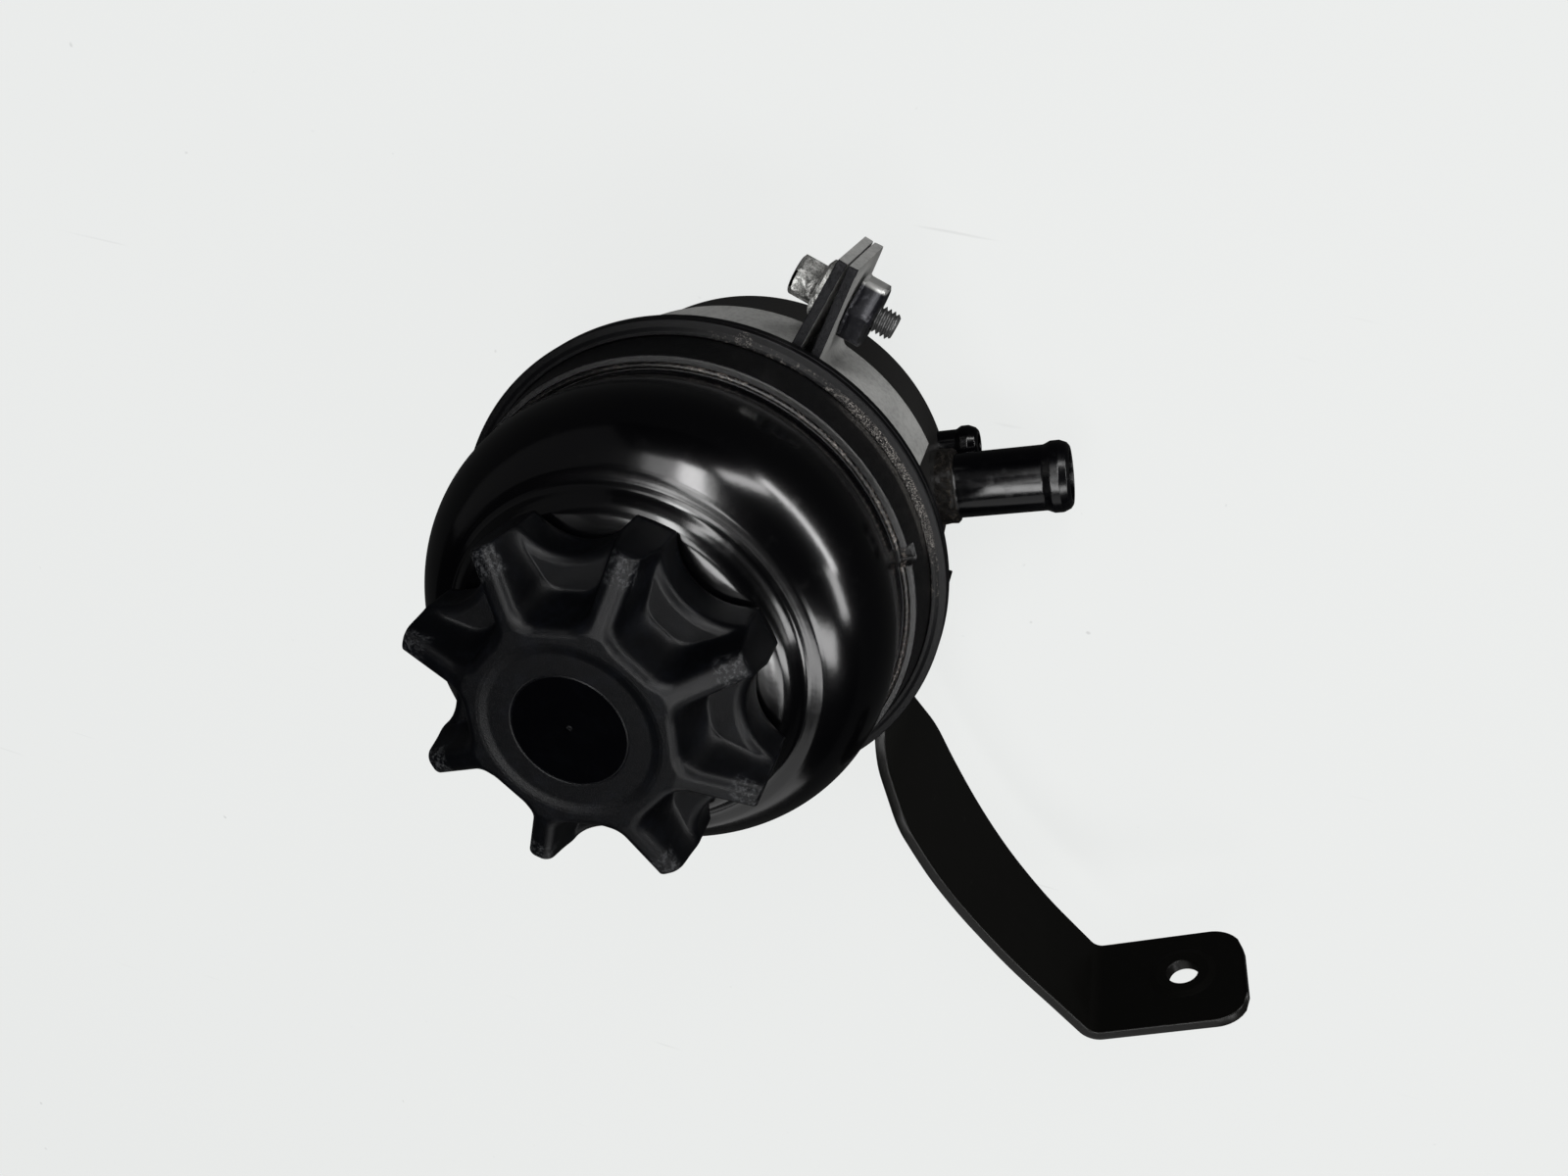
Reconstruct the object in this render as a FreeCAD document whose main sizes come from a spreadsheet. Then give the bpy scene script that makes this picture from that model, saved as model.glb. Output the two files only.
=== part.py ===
import FreeCAD, Part
import math
import os

import Sketcher
from FreeCAD import Placement, Rotation, Vector

# Power steering fluid reservoir: two moulded shells, a star grip cap with dipstick,
# a strainer and baffle inside, and a steel band clamp with a bolted bracket arm.
# Frame: millimetres, +Z along the axis towards the cap, origin at the base's centre.

UP = Vector(0, 0, 1)
ORIGIN = Vector(0, 0, 0)

# driving dimensions, in millimetres and degrees
DIMENSIONS = {
    # lower shell
    "cup_radius": 49.3,
    "cup_draft": 0.5,
    "cup_wall": 2.6,
    "base_thickness": 3.0,
    "base_fillet": 4.0,
    "base_recess_margin": 10.8,
    "base_recess_depth": 1.0,
    "rim_reach": 6.7,
    "rim_top": 58.0,
    "rim_thickness": 4.3,
    "rim_slope": 0.8,
    "rim_root": 0.3,
    "bead_offset": 3.9,
    "spigot_height": 4.0,
    "spigot_wall": 1.6,
    # upper shell
    "skirt_offset": 3.3,
    "skirt_taper": 1.2,
    "skirt_height": 10.2,
    "foot_inset": 1.0,
    "foot_bulge": 1.0,
    "dome_rise": 12.5,
    "dome_foot_arc": 110.0,
    "bulge_arc": 20.9,
    "bulge_run": 2.8,
    "bulge_rise": 17.3,
    "valley_run": 2.2,
    "valley_rise": 0.9,
    "step_run": 2.6,
    "step_rise": 1.9,
    "shoulder_run": 5.8,
    "shoulder_rise": 2.1,
    "shell_wall": 2.4,
    "neck_inset": 22.7,
    "neck_wall": 2.6,
    "neck_length": 8.3,
    "notch_azimuth": 24.0,
    "notch_width": 3.6,
    "notch_depth": 3.4,
    "seat_clearance": 0.1,
    # cap
    "cap_gap": 1.7,
    "seal_thickness": 1.6,
    "seal_section": 3.4,
    "seal_gap": 0.05,
    "seal_lift": 0.15,
    "cap_floor": 2.6,
    "cap_ledge_fall": 6.2,
    "cap_hub_rise": 8.3,
    "cap_tip_fall": 4.2,
    "cap_tip_reach": 8.4,
    "cap_hub_inset": 9.1,
    "cap_hub_flare": 3.5,
    "cap_ledge_width": 4.5,
    "cap_bore_clearance": 0.35,
    "cap_hub_wall": 2.9,
    "cap_face": 3.0,
    "cap_face_margin": 2.3,
    "cap_dish_depth": 0.4,
    "cap_disc_margin": 4.3,
    "cap_disc_ring": 0.35,
    "cap_phase": 34.4,
    "cap_lobes": 8,
    "lobe_foot_width": 9.0,
    "lobe_draft": 6.0,
    "scallop_radius": 12.0,
    "scallop_depth": 6.3,
    "stem_socket_radius": 5.0,
    "stem_socket_depth": 5.0,
    "stem_radius": 2.2,
    "stem_flat": 6.4,
    "stem_thickness": 2.4,
    "stem_clearance": 4.0,
    # hose nozzles
    "nozzle_azimuth": 19.5,
    "nozzle_inset": 4.3,
    "nozzle_gap": 0.25,
    "suction_radius": 7.6,
    "suction_wall": 1.8,
    "suction_bead_height": 0.7,
    "suction_reach": 30.3,
    "collar_wall": 1.5,
    "collar_reach": 4.5,
    "return_foot": 1.3,
    "return_offset": 5.3,
    "return_radius": 4.1,
    "return_wall": 1.7,
    "return_bead_height": 0.7,
    "return_reach": 8.3,
    "bead_length": 4.6,
    # strainer and baffle
    "strainer_inset": 15.6,
    "strainer_rib_width": 3.0,
    "strainer_rib_wall": 1.8,
    "strainer_ring": 3.0,
    "strainer_ribs": 8,
    "mesh_wall": 0.4,
    "baffle_play": 1.1,
    "baffle_depth": 8.0,
    "baffle_thickness": 2.0,
    "baffle_hole_radius": 3.0,
    "baffle_hole_inset": 7.1,
    "baffle_holes": 12,
    "baffle_opening": 9.0,
    # clamp
    "strap_gap": 0.5,
    "strap_width": 27.6,
    "strap_thickness": 2.0,
    "ear_azimuth": 72.3,
    "ear_length": 25.1,
    "ear_gap": 0.4,
    "ear_bend": 2.0,
    "ear_lean": 3.0,
    "ear_corner": 3.0,
    "relief_margin": 3.4,
    "relief_height": 20.4,
    "bolt_edge": 10.1,
    "bolt_rise": 14.0,
    "bolt_thread": 3.0,
    "bolt_hole_clearance": 0.3,
    "bolt_flats": 8.0,
    "bolt_head_height": 5.5,
    "bolt_chamfer": 0.6,
    "washer_rim": 3.3,
    "washer_thickness": 1.7,
    "nut_flats": 13.0,
    "nut_height": 4.4,
    "nut_flange_rim": 0.8,
    "nut_flange_height": 1.1,
    "thread_stick_out": 4.6,
    # bracket arm
    "arm_thickness": 2.5,
    "arm_drop": 8.6,
    "arm_rise": 4.0,
    "arm_root_start": -1.0,
    "arm_root_turn": 22.0,
    "arm_swing_radius": 20.0,
    "arm_swing_turn": 60.0,
    "arm_straight": 17.5,
    "arm_curve_radius": 170.0,
    "arm_curve_turn": 18.5,
    "arm_run_out": 12.0,
    "arm_azimuth": -43.0,
    "rim_gap": 1.1,
    "tab_bend_radius": 3.0,
    "tab_bend_turn": 66.5,
    "tab_hole_distance": 20.4,
    "tab_margin": 15.1,
    "tab_corner": 8.0,
    "tab_hole_rise": 21.6,
    "tab_hole_radius": 3.9,
    "emboss_rim": 4.5,
    "emboss_height": 0.5,
}

# sizes that follow from the driving ones, as the sheet's own formulas
FOLLOWING = {
    "base_recess_radius": "cup_radius - cup_draft - base_recess_margin",
    "rim_radius": "cup_radius + rim_reach",
    "bead_radius": "cup_radius + bead_offset",
    "skirt_radius": "cup_radius + skirt_offset",
    "skirt_top_radius": "skirt_radius - skirt_taper",
    "dome_foot_radius": "cup_radius - foot_inset",
    "dome_radius": "dome_foot_radius + foot_bulge",
    "dome_equator": "rim_top + skirt_height + dome_rise",
    "neck_radius": "cup_radius - neck_inset",
    "shoulder_radius": "neck_radius + shoulder_run",
    "step_radius": "shoulder_radius + step_run",
    "valley_radius": "step_radius + valley_run",
    "bulge_end_radius": "valley_radius + bulge_run",
    "bulge_end_height": "dome_equator + bulge_rise",
    "valley_height": "bulge_end_height + valley_rise",
    "step_height": "valley_height + step_rise",
    "shoulder_height": "step_height + shoulder_rise",
    "neck_top": "shoulder_height + neck_length",
    "cap_bottom": "shoulder_height + cap_gap",
    "cap_seat": "neck_top + seal_lift + seal_thickness + seal_gap",
    "cap_ledge_height": "cap_seat + cap_floor",
    "cap_edge_height": "cap_ledge_height - cap_ledge_fall",
    "cap_top": "cap_ledge_height + cap_hub_rise",
    "cap_tip_top": "cap_top - cap_tip_fall",
    "cap_tip_radius": "neck_radius + cap_tip_reach",
    "cap_hub_radius": "neck_radius - cap_hub_inset",
    "cap_hub_foot": "cap_hub_radius + cap_hub_flare",
    "cap_ledge_radius": "cap_hub_foot + cap_ledge_width",
    "cap_hollow_radius": "cap_hub_radius - cap_hub_wall",
    "cap_dish_radius": "cap_hub_radius - cap_face_margin",
    "cap_disc_radius": "cap_dish_radius - cap_disc_margin",
    "strap_bottom": "rim_top - rim_thickness - strap_gap - strap_width",
    "nozzle_start": "cup_radius - nozzle_inset",
    "collar_radius": "suction_radius + collar_wall",
    "collar_end": "cup_radius + collar_reach",
    "return_height": "return_foot + return_radius",
    "return_bore": "return_radius - return_wall",
    "return_bead": "return_radius + return_bead_height",
    "return_tip": "cup_radius + return_reach",
    "suction_height": "return_height + return_radius + nozzle_gap + collar_radius",
    "suction_bore": "suction_radius - suction_wall",
    "suction_bead": "suction_radius + suction_bead_height",
    "suction_tip": "cup_radius + suction_reach",
    "baffle_radius": "cup_radius - cup_wall - baffle_play",
    "baffle_hole_circle": "baffle_radius - baffle_hole_inset",
    "strainer_radius": "baffle_radius - strainer_inset",
    "strainer_top": "rim_top - baffle_depth",
    "stem_end": "strainer_top + baffle_thickness + stem_clearance",
    "ear_reach": "cup_radius + ear_length",
    "bolt_radial": "ear_reach - bolt_edge",
    "bolt_height": "strap_bottom + bolt_rise",
    "washer_radius": "bolt_thread + washer_rim",
    "nut_flange_radius": "nut_flats / 2 + nut_flange_rim",
    "relief_half_width": "collar_radius + relief_margin",
    "relief_top": "strap_bottom + relief_height",
    "arm_bottom": "strap_bottom - arm_drop",
    "arm_top": "rim_top + arm_rise",
    "tab_length": "tab_hole_distance + tab_margin",
    "tab_hole_height": "arm_bottom + tab_hole_rise",
    "emboss_radius": "tab_hole_radius + emboss_rim",
}

# the arm's taper: distance along it, rise of its lower edge and fall of its upper edge
ARM_TAPER = [(76, 0.6, 0.0), (92, 2.0, 1.3), (115, 5.0, 4.3), (136, 7.0, 6.0), (175, 8.5, 6.8)]


class Size:
    """A number together with the sheet expression that gives it."""

    def __init__(self, value, text):
        self.value = float(value)
        self.text = text

    @staticmethod
    def of(other):
        return other if isinstance(other, Size) else Size(other, repr(float(other)))

    def join(self, other, sign, value):
        return Size(value, "(%s %s %s)" % (self.text, sign, other.text))

    def __add__(self, other):
        other = Size.of(other)
        return self.join(other, "+", self.value + other.value)

    def __radd__(self, other):
        return Size.of(other) + self

    def __sub__(self, other):
        other = Size.of(other)
        return self.join(other, "-", self.value - other.value)

    def __rsub__(self, other):
        return Size.of(other) - self

    def __mul__(self, other):
        other = Size.of(other)
        return self.join(other, "*", self.value * other.value)

    def __rmul__(self, other):
        return Size.of(other) * self

    def __truediv__(self, other):
        other = Size.of(other)
        return self.join(other, "/", self.value / other.value)


doc = FreeCAD.newDocument("reservoir")
sheet = doc.addObject("Spreadsheet::Sheet", "Sizes")
rows = [(alias, str(number)) for alias, number in DIMENSIONS.items()]
rows += [(alias, "=" + formula) for alias, formula in FOLLOWING.items()]
for row, (alias, content) in enumerate(rows, start=1):
    sheet.set("A%d" % row, alias.replace("_", " "))
    sheet.set("B%d" % row, content)
    sheet.setAlias("B%d" % row, alias)
doc.recompute()
d = {alias: Size(sheet.get(alias), "Sizes." + alias) for alias, content in rows}


def size(alias):
    """The value of one cell of the sheet."""
    return float(sheet.get(alias))


# sketches and bodies

def new_body(label):
    body = doc.addObject("PartDesign::Body", label)
    body.Label = label
    return body


def plane_of(body, role):
    return next(f for f in body.Origin.OriginFeatures if f.Role == role)


def new_sketch(body, name, role="XZ_Plane", height=None):
    """A sketch on one of the body's own planes, lifted along the plane's normal."""
    sketch = body.newObject("Sketcher::SketchObject", name)
    sketch.AttachmentSupport = [(plane_of(body, role), "")]
    sketch.MapMode = "FlatFace"
    if height is not None:
        sketch.setExpression("AttachmentOffset.Base.z", height.text)
    return sketch


def hold_point(sketch, edge, end, x, y):
    """Ties a vertex to the sketch's axes with two driving distances."""
    for kind, axis, measure in (("DistanceX", -2, x), ("DistanceY", -1, y)):
        if abs(measure.value) < 1e-9:
            sketch.addConstraint(Sketcher.Constraint("PointOnObject", edge, end, axis))
        else:
            index = sketch.addConstraint(
                Sketcher.Constraint(kind, -1, 1, edge, end, measure.value))
            sketch.setExpression("Constraints[%d]" % index, measure.text)


def arc_between(start, end, radius, side):
    """The short arc from start to end, with its centre to the left for side +1."""
    chord = end - start
    middle = (start + end) * 0.5
    left = Vector(-chord.y, chord.x, 0).normalize()
    rise = math.sqrt(max(radius * radius - (chord.Length / 2) ** 2, 0))
    centre = middle + left * (side * rise)
    first, last = (start, end) if side > 0 else (end, start)
    angles = [math.atan2(p.y - centre.y, p.x - centre.x) for p in (first, last)]
    return Part.ArcOfCircle(Part.Circle(centre, UP, radius), angles[0], angles[1])


def outline(sketch, points):
    """A closed outline through points (x, y) or (x, y, radius, side).

    A point with a radius is reached by an arc, and each vertex is bound to the sheet.
    """
    corners = [Vector(Size.of(p[0]).value, Size.of(p[1]).value, 0) for p in points]
    ends = []
    for i, point in enumerate(points):
        start = corners[i - 1]
        end = corners[i]
        if len(point) == 4:
            radius = Size.of(point[2])
            edge = sketch.addGeometry(arc_between(start, end, radius.value, point[3]), False)
            ends.append((edge, 1, 2) if point[3] > 0 else (edge, 2, 1))
            index = sketch.addConstraint(Sketcher.Constraint("Radius", edge, radius.value))
            sketch.setExpression("Constraints[%d]" % index, radius.text)
        else:
            edge = sketch.addGeometry(Part.LineSegment(start, end), False)
            ends.append((edge, 1, 2))
    for i, (edge, first, last) in enumerate(ends):
        after = ends[(i + 1) % len(ends)]
        sketch.addConstraint(Sketcher.Constraint("Coincident", edge, last, after[0], after[1]))
        hold_point(sketch, edge, last, Size.of(points[i][0]), Size.of(points[i][1]))


def circle(sketch, x, y, radius):
    """A circle held by its centre and radius."""
    x, y, radius = Size.of(x), Size.of(y), Size.of(radius)
    edge = sketch.addGeometry(Part.Circle(Vector(x.value, y.value, 0), UP, radius.value), False)
    index = sketch.addConstraint(Sketcher.Constraint("Radius", edge, radius.value))
    sketch.setExpression("Constraints[%d]" % index, radius.text)
    hold_point(sketch, edge, 3, x, y)


def turn(body, name, points, cut=False):
    """Revolves a profile in the XZ plane about Z, as material or as a groove."""
    sketch = new_sketch(body, name + "_profile")
    outline(sketch, points)
    kind = "PartDesign::Groove" if cut else "PartDesign::Revolution"
    feature = body.newObject(kind, name)
    feature.Profile = sketch
    feature.ReferenceAxis = (sketch, ["V_Axis"])
    feature.Angle = 360.0
    doc.recompute()
    return feature


def pad(body, name, sketch, length, draft=None):
    """Raises a sketch along its normal, with an optional draft that narrows it upwards."""
    feature = body.newObject("PartDesign::Pad", name)
    feature.Profile = sketch
    feature.setExpression("Length", Size.of(length).text)
    if draft is not None:
        feature.setExpression("TaperAngle", "-" + draft.text)
    doc.recompute()
    return feature


def pocket(body, name, sketch, length, reverse=True):
    """Cuts along the sketch's normal, or against it when reverse is False."""
    feature = body.newObject("PartDesign::Pocket", name)
    feature.Profile = sketch
    feature.setExpression("Length", Size.of(length).text)
    feature.Reversed = reverse
    doc.recompute()
    return feature


def around(body, name, feature, count):
    """Repeats a feature evenly about Z."""
    pattern = body.newObject("PartDesign::PolarPattern", name)
    pattern.Originals = [feature]
    pattern.Axis = (plane_of(body, "Z_Axis"), [""])
    pattern.Angle = 360.0
    pattern.setExpression("Occurrences", count.text)
    body.Tip = pattern
    doc.recompute()
    return pattern


def shape_node(label, shape):
    node = doc.addObject("Part::Feature", label)
    node.Label = label
    node.Shape = shape
    return node


# lower shell

def make_lower_shell():
    """Cup with a flat base, a flange rim, a locating spigot and the nozzle seats."""
    body = new_body("lower_shell")
    base_radius = d["cup_radius"] - d["cup_draft"]
    inside = d["cup_radius"] - d["cup_wall"]
    rim_under = d["rim_top"] - d["rim_thickness"]
    bead_top = d["rim_top"] + d["rim_slope"]
    spigot = d["dome_foot_radius"] - d["shell_wall"] - d["seat_clearance"]
    turn(body, "cup", [
        (0, d["base_recess_depth"]),
        (d["base_recess_radius"], d["base_recess_depth"]),
        (d["base_recess_radius"] + 1.0, 0),
        (base_radius - d["base_fillet"], 0),
        (base_radius, d["base_fillet"], d["base_fillet"], 1),
        (d["cup_radius"], rim_under - d["rim_root"]),
        (d["cup_radius"] + d["rim_root"], rim_under),
        (d["rim_radius"] - 0.4, rim_under),
        (d["rim_radius"], rim_under + 0.4),
        (d["rim_radius"], d["rim_top"] - 0.3),
        (d["rim_radius"] - 0.4, d["rim_top"]),
        (d["bead_radius"] + 0.9, d["rim_top"] + 0.2),
        (d["bead_radius"] + 0.3, bead_top),
        (d["bead_radius"] - 0.3, bead_top),
        (d["bead_radius"] - 0.5, d["rim_top"]),
        (spigot, d["rim_top"]),
        (spigot, d["rim_top"] + d["spigot_height"]),
        (spigot - d["spigot_wall"], d["rim_top"] + d["spigot_height"]),
        (spigot - d["spigot_wall"], d["rim_top"] - 2.0),
        (inside, d["rim_top"] - 5.0),
        (inside - d["cup_draft"], d["base_thickness"] + 2.0),
        (inside - d["cup_draft"] - 2.0, d["base_thickness"], 2.0, -1),
        (0, d["base_thickness"]),
    ])
    start = inside + 0.5
    collar = new_sketch(body, "collar_circle", "YZ_Plane", start)
    circle(collar, 0, d["suction_height"], d["collar_radius"])
    pad(body, "collar", collar, d["collar_end"] - start)
    seats = (
        ("suction_seat", d["suction_height"], 0, d["suction_radius"]),
        ("return_seat", d["return_height"], d["return_offset"], d["return_radius"]),
    )
    for name, height, offset, radius in seats:
        sketch = new_sketch(body, name + "_circle", "YZ_Plane", d["nozzle_start"])
        circle(sketch, offset, height, radius + d["seat_clearance"])
        pocket(body, name, sketch, d["rim_radius"])
    body.Placement = Placement(ORIGIN, Rotation(UP, size("nozzle_azimuth")))
    return body


# upper shell

def make_upper_shell():
    """Domed cover: skirt ring on the flange, bulge, stepped shoulder and filler neck."""
    body = new_body("upper_shell")
    skirt_top = d["rim_top"] + d["skirt_height"]
    wall = d["shell_wall"]
    inner_foot = d["dome_foot_radius"] - wall
    neck_in = d["neck_radius"] - d["neck_wall"]
    turn(body, "dome", [
        (inner_foot, d["rim_top"] + 0.1),
        (d["skirt_radius"] - 0.2, d["rim_top"] + 0.1),
        (d["skirt_radius"], d["rim_top"] + 0.9),
        (d["skirt_top_radius"], skirt_top - 0.5),
        (d["skirt_top_radius"] - 0.5, skirt_top),
        (d["skirt_top_radius"] - 1.1, skirt_top + 0.2),
        (d["skirt_top_radius"] - 1.3, skirt_top - 0.3),
        (d["skirt_top_radius"] - 1.6, skirt_top + 0.5),
        (d["dome_foot_radius"] + 0.6, skirt_top + 0.8),
        (d["dome_foot_radius"], skirt_top - 0.2),
        (d["dome_foot_radius"] + 0.05, skirt_top + 1.4),
        (d["dome_radius"], d["dome_equator"], d["dome_foot_arc"], 1),
        (d["bulge_end_radius"], d["bulge_end_height"], d["bulge_arc"], 1),
        (d["valley_radius"], d["valley_height"]),
        (d["step_radius"], d["step_height"], 4.0, -1),
        (d["shoulder_radius"], d["shoulder_height"], 3.6, 1),
        (d["neck_radius"] + 1.2, d["shoulder_height"] + 0.4),
        (d["neck_radius"], d["shoulder_height"] + 1.6, 2.0, -1),
        (d["neck_radius"], d["neck_top"] - 0.5),
        (d["neck_radius"] - 0.5, d["neck_top"]),
        (neck_in, d["neck_top"]),
        (neck_in, d["shoulder_height"] - 2.0),
        (d["shoulder_radius"] - 1.2, d["shoulder_height"] - wall - 0.4),
        (d["step_radius"] - 2.0, d["step_height"] - wall),
        (d["valley_radius"] - 1.6, d["valley_height"] - wall),
        (d["bulge_end_radius"] - 1.5, d["bulge_end_height"] - wall + 0.5),
        (d["dome_radius"] - wall, d["dome_equator"], d["bulge_arc"] - wall, -1),
        (inner_foot, skirt_top + 1.0, d["dome_foot_arc"], -1),
    ])
    sketch = new_sketch(body, "notch_outline", "YZ_Plane", d["dome_foot_radius"] + 1.0)
    top = skirt_top + 1.0
    half = d["notch_width"] / 2.0
    outline(sketch, [
        (-1.0 * half, top - d["notch_depth"]),
        (half, top - d["notch_depth"]),
        (half, top),
        (-1.0 * half, top),
    ])
    pocket(body, "notch", sketch, d["rim_radius"])
    body.Placement = Placement(ORIGIN, Rotation(UP, size("notch_azimuth")))
    return body


# cap

def make_cap():
    """Star grip cap: eight drafted lobes on a scalloped skirt, a hub and a dished face."""
    body = new_body("cap")
    edge = d["cap_tip_radius"] - d["scallop_depth"]
    turn(body, "skirt_and_hub", [
        (0, d["cap_bottom"]),
        (d["cap_tip_radius"], d["cap_bottom"]),
        (d["cap_tip_radius"], d["cap_edge_height"] - 2.0),
        (edge + 0.6, d["cap_edge_height"]),
        (d["cap_ledge_radius"], d["cap_ledge_height"]),
        (d["cap_hub_foot"], d["cap_ledge_height"] - 0.6),
        (d["cap_hub_radius"] + 1.0, d["cap_top"] - 1.0),
        (d["cap_hub_radius"], d["cap_top"], 1.2, 1),
        (0, d["cap_top"]),
    ])
    sketch = new_sketch(body, "scallop_circle", "XY_Plane", d["cap_bottom"] - 1.0)
    circle(sketch, edge + d["scallop_radius"], 0, d["scallop_radius"])
    scallop = pocket(body, "scallop", sketch, d["cap_top"] - d["cap_bottom"])
    around(body, "scallops", scallop, d["cap_lobes"])
    half = d["lobe_foot_width"] / 2.0
    inner = d["cap_hub_radius"] - 6.0
    reach = d["cap_tip_radius"] + 3.0
    foot = new_sketch(body, "lobe_foot", "XY_Plane", d["cap_bottom"])
    outline(foot, [
        (inner, -1.0 * half),
        (reach, -1.0 * half),
        (reach, half),
        (inner, half),
    ])
    foot.setExpression("AttachmentOffset.Rotation.Angle", "180 / Sizes.cap_lobes")
    lobe = pad(body, "lobe", foot, d["cap_top"] - d["cap_bottom"], d["lobe_draft"])
    around(body, "lobes", lobe, d["cap_lobes"])
    trim_cap(body)
    half_step = 180.0 / size("cap_lobes")
    body.Placement = Placement(ORIGIN, Rotation(UP, size("cap_phase") + half_step))
    return body


def trim_cap(body):
    """Slopes the lobes' tops, hollows the underside and dishes the face round a disc."""
    top = d["cap_top"]
    tip = d["cap_tip_radius"]
    turn(body, "tip_trim", [
        (tip, d["cap_bottom"] - 1.0),
        (tip + 6.0, d["cap_bottom"] - 1.0),
        (tip + 6.0, top + 2.0),
        (d["cap_hub_radius"] - 2.0, top + 2.0),
        (d["cap_hub_radius"] - 2.0, top),
        (d["cap_hub_radius"] + 2.0, top - 0.2),
        (tip - 1.6, d["cap_tip_top"] + 0.3),
        (tip - 0.6, d["cap_tip_top"] - 0.5),
        (tip - 0.3, d["cap_tip_top"] - 2.0),
    ], cut=True)
    bore = d["neck_radius"] + d["cap_bore_clearance"]
    face = top - d["cap_face"]
    socket = d["stem_radius"] + d["seat_clearance"]
    turn(body, "bore", [
        (0, d["cap_bottom"] - 1.0),
        (bore, d["cap_bottom"] - 1.0),
        (bore, d["cap_seat"]),
        (d["cap_hollow_radius"], d["cap_seat"]),
        (d["cap_hollow_radius"], face),
        (d["stem_socket_radius"], face),
        (d["stem_socket_radius"], face - d["stem_socket_depth"]),
        (socket, face - d["stem_socket_depth"]),
        (socket, face),
        (0, face),
    ], cut=True)
    dish = top - d["cap_dish_depth"]
    ring = d["cap_disc_radius"] + d["cap_disc_ring"]
    turn(body, "dish", [
        (ring, top + 1.0),
        (ring, dish),
        (d["cap_dish_radius"] - 1.0, dish),
        (d["cap_dish_radius"], top),
        (d["cap_dish_radius"], top + 1.0),
    ], cut=True)


def make_cap_seal():
    """Flat sealing ring that the cap presses on the neck's lip."""
    body = new_body("cap_seal")
    outer = d["neck_radius"] - 0.1
    top = d["cap_seat"] - d["seal_gap"]
    turn(body, "ring", [
        (outer - d["seal_section"], top - d["seal_thickness"]),
        (outer, top - d["seal_thickness"]),
        (outer, top),
        (outer - d["seal_section"], top),
    ])
    return body


def make_dipstick():
    """Round stem in the cap's socket, with a flat blade that has two level grooves."""
    body = new_body("dipstick")
    top = d["cap_top"] - d["cap_face"] - d["seat_clearance"]
    shoulder = d["cap_top"] - d["cap_face"] - d["stem_socket_depth"] - 3.0
    turn(body, "stem", [
        (0, shoulder),
        (d["stem_radius"], shoulder),
        (d["stem_radius"], top),
        (0, top),
    ])
    half = d["stem_flat"] / 2.0
    thick = d["stem_thickness"] / 2.0
    blade = new_sketch(body, "blade_section", "XY_Plane", d["stem_end"])
    outline(blade, [
        (-1.0 * half, -1.0 * thick),
        (half, -1.0 * thick),
        (half, thick),
        (-1.0 * half, thick),
    ])
    pad(body, "blade", blade, shoulder + 2.0 - d["stem_end"])
    for name, level in (("low_mark", 6.0), ("full_mark", 18.0)):
        sketch = new_sketch(body, name + "_section", "XY_Plane", d["stem_end"] + level)
        groove = thick - 0.5
        outline(sketch, [
            (-1.0 * half, groove),
            (half, groove),
            (half, thick + 1.0),
            (-1.0 * half, thick + 1.0),
        ])
        pocket(body, name, sketch, 1.0)
    body.Placement = Placement(ORIGIN, Rotation(UP, size("cap_phase")))
    return body


# hose nozzles

def make_nozzle(label, height, offset, radius, bore, bead, tip):
    """Hose tail turned about its own axis, with a bead and a rounded end."""
    body = new_body(label)
    lead = tip - d["bead_length"]
    turn(body, "tail", [
        (bore, d["nozzle_start"] + 0.1),
        (radius, d["nozzle_start"] + 0.1),
        (radius, lead - 1.0),
        (bead, lead + 0.6),
        (bead, lead + 2.0),
        (bead - 0.3, lead + 2.8),
        (bead - 0.7, tip - 0.7),
        (bead - 1.4, tip),
        (bore, tip),
    ])
    turned = Rotation(UP, size("nozzle_azimuth"))
    place = turned.multVec(Vector(0, Size.of(offset).value, height.value))
    body.Placement = Placement(place, turned * Rotation(Vector(0, 1, 0), 90))
    return body


# strainer and baffle inside

def make_strainer_frame():
    """Cage that holds the mesh: foot ring, upright ribs and head ring."""
    body = new_body("strainer_frame")
    outer = d["strainer_radius"]
    inner = outer - d["strainer_rib_wall"]
    foot = d["base_thickness"]
    ring = d["strainer_ring"]

    def hoop(name, z):
        turn(body, name, [(inner, z), (outer, z), (outer, z + ring), (inner, z + ring)])

    hoop("foot_ring", foot)
    half = d["strainer_rib_width"] / 2.0
    section = new_sketch(body, "rib_section", "XY_Plane", foot)
    outline(section, [
        (inner + 0.1, -1.0 * half),
        (outer - 0.1, -1.0 * half),
        (outer - 0.1, half),
        (inner + 0.1, half),
    ])
    rib = pad(body, "rib", section, d["strainer_top"] - foot - 0.5)
    around(body, "ribs", rib, d["strainer_ribs"])
    hoop("head_ring", d["strainer_top"] - ring)
    return body


def make_strainer_mesh():
    """Woven screen as one thin sleeve just inside the frame."""
    body = new_body("strainer_mesh")
    outer = d["strainer_radius"] - d["strainer_rib_wall"] - 0.05
    inner = outer - d["mesh_wall"]
    foot = d["base_thickness"]
    top = d["strainer_top"]
    turn(body, "sleeve", [(inner, foot), (outer, foot), (outer, top), (inner, top)])
    return body


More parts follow.
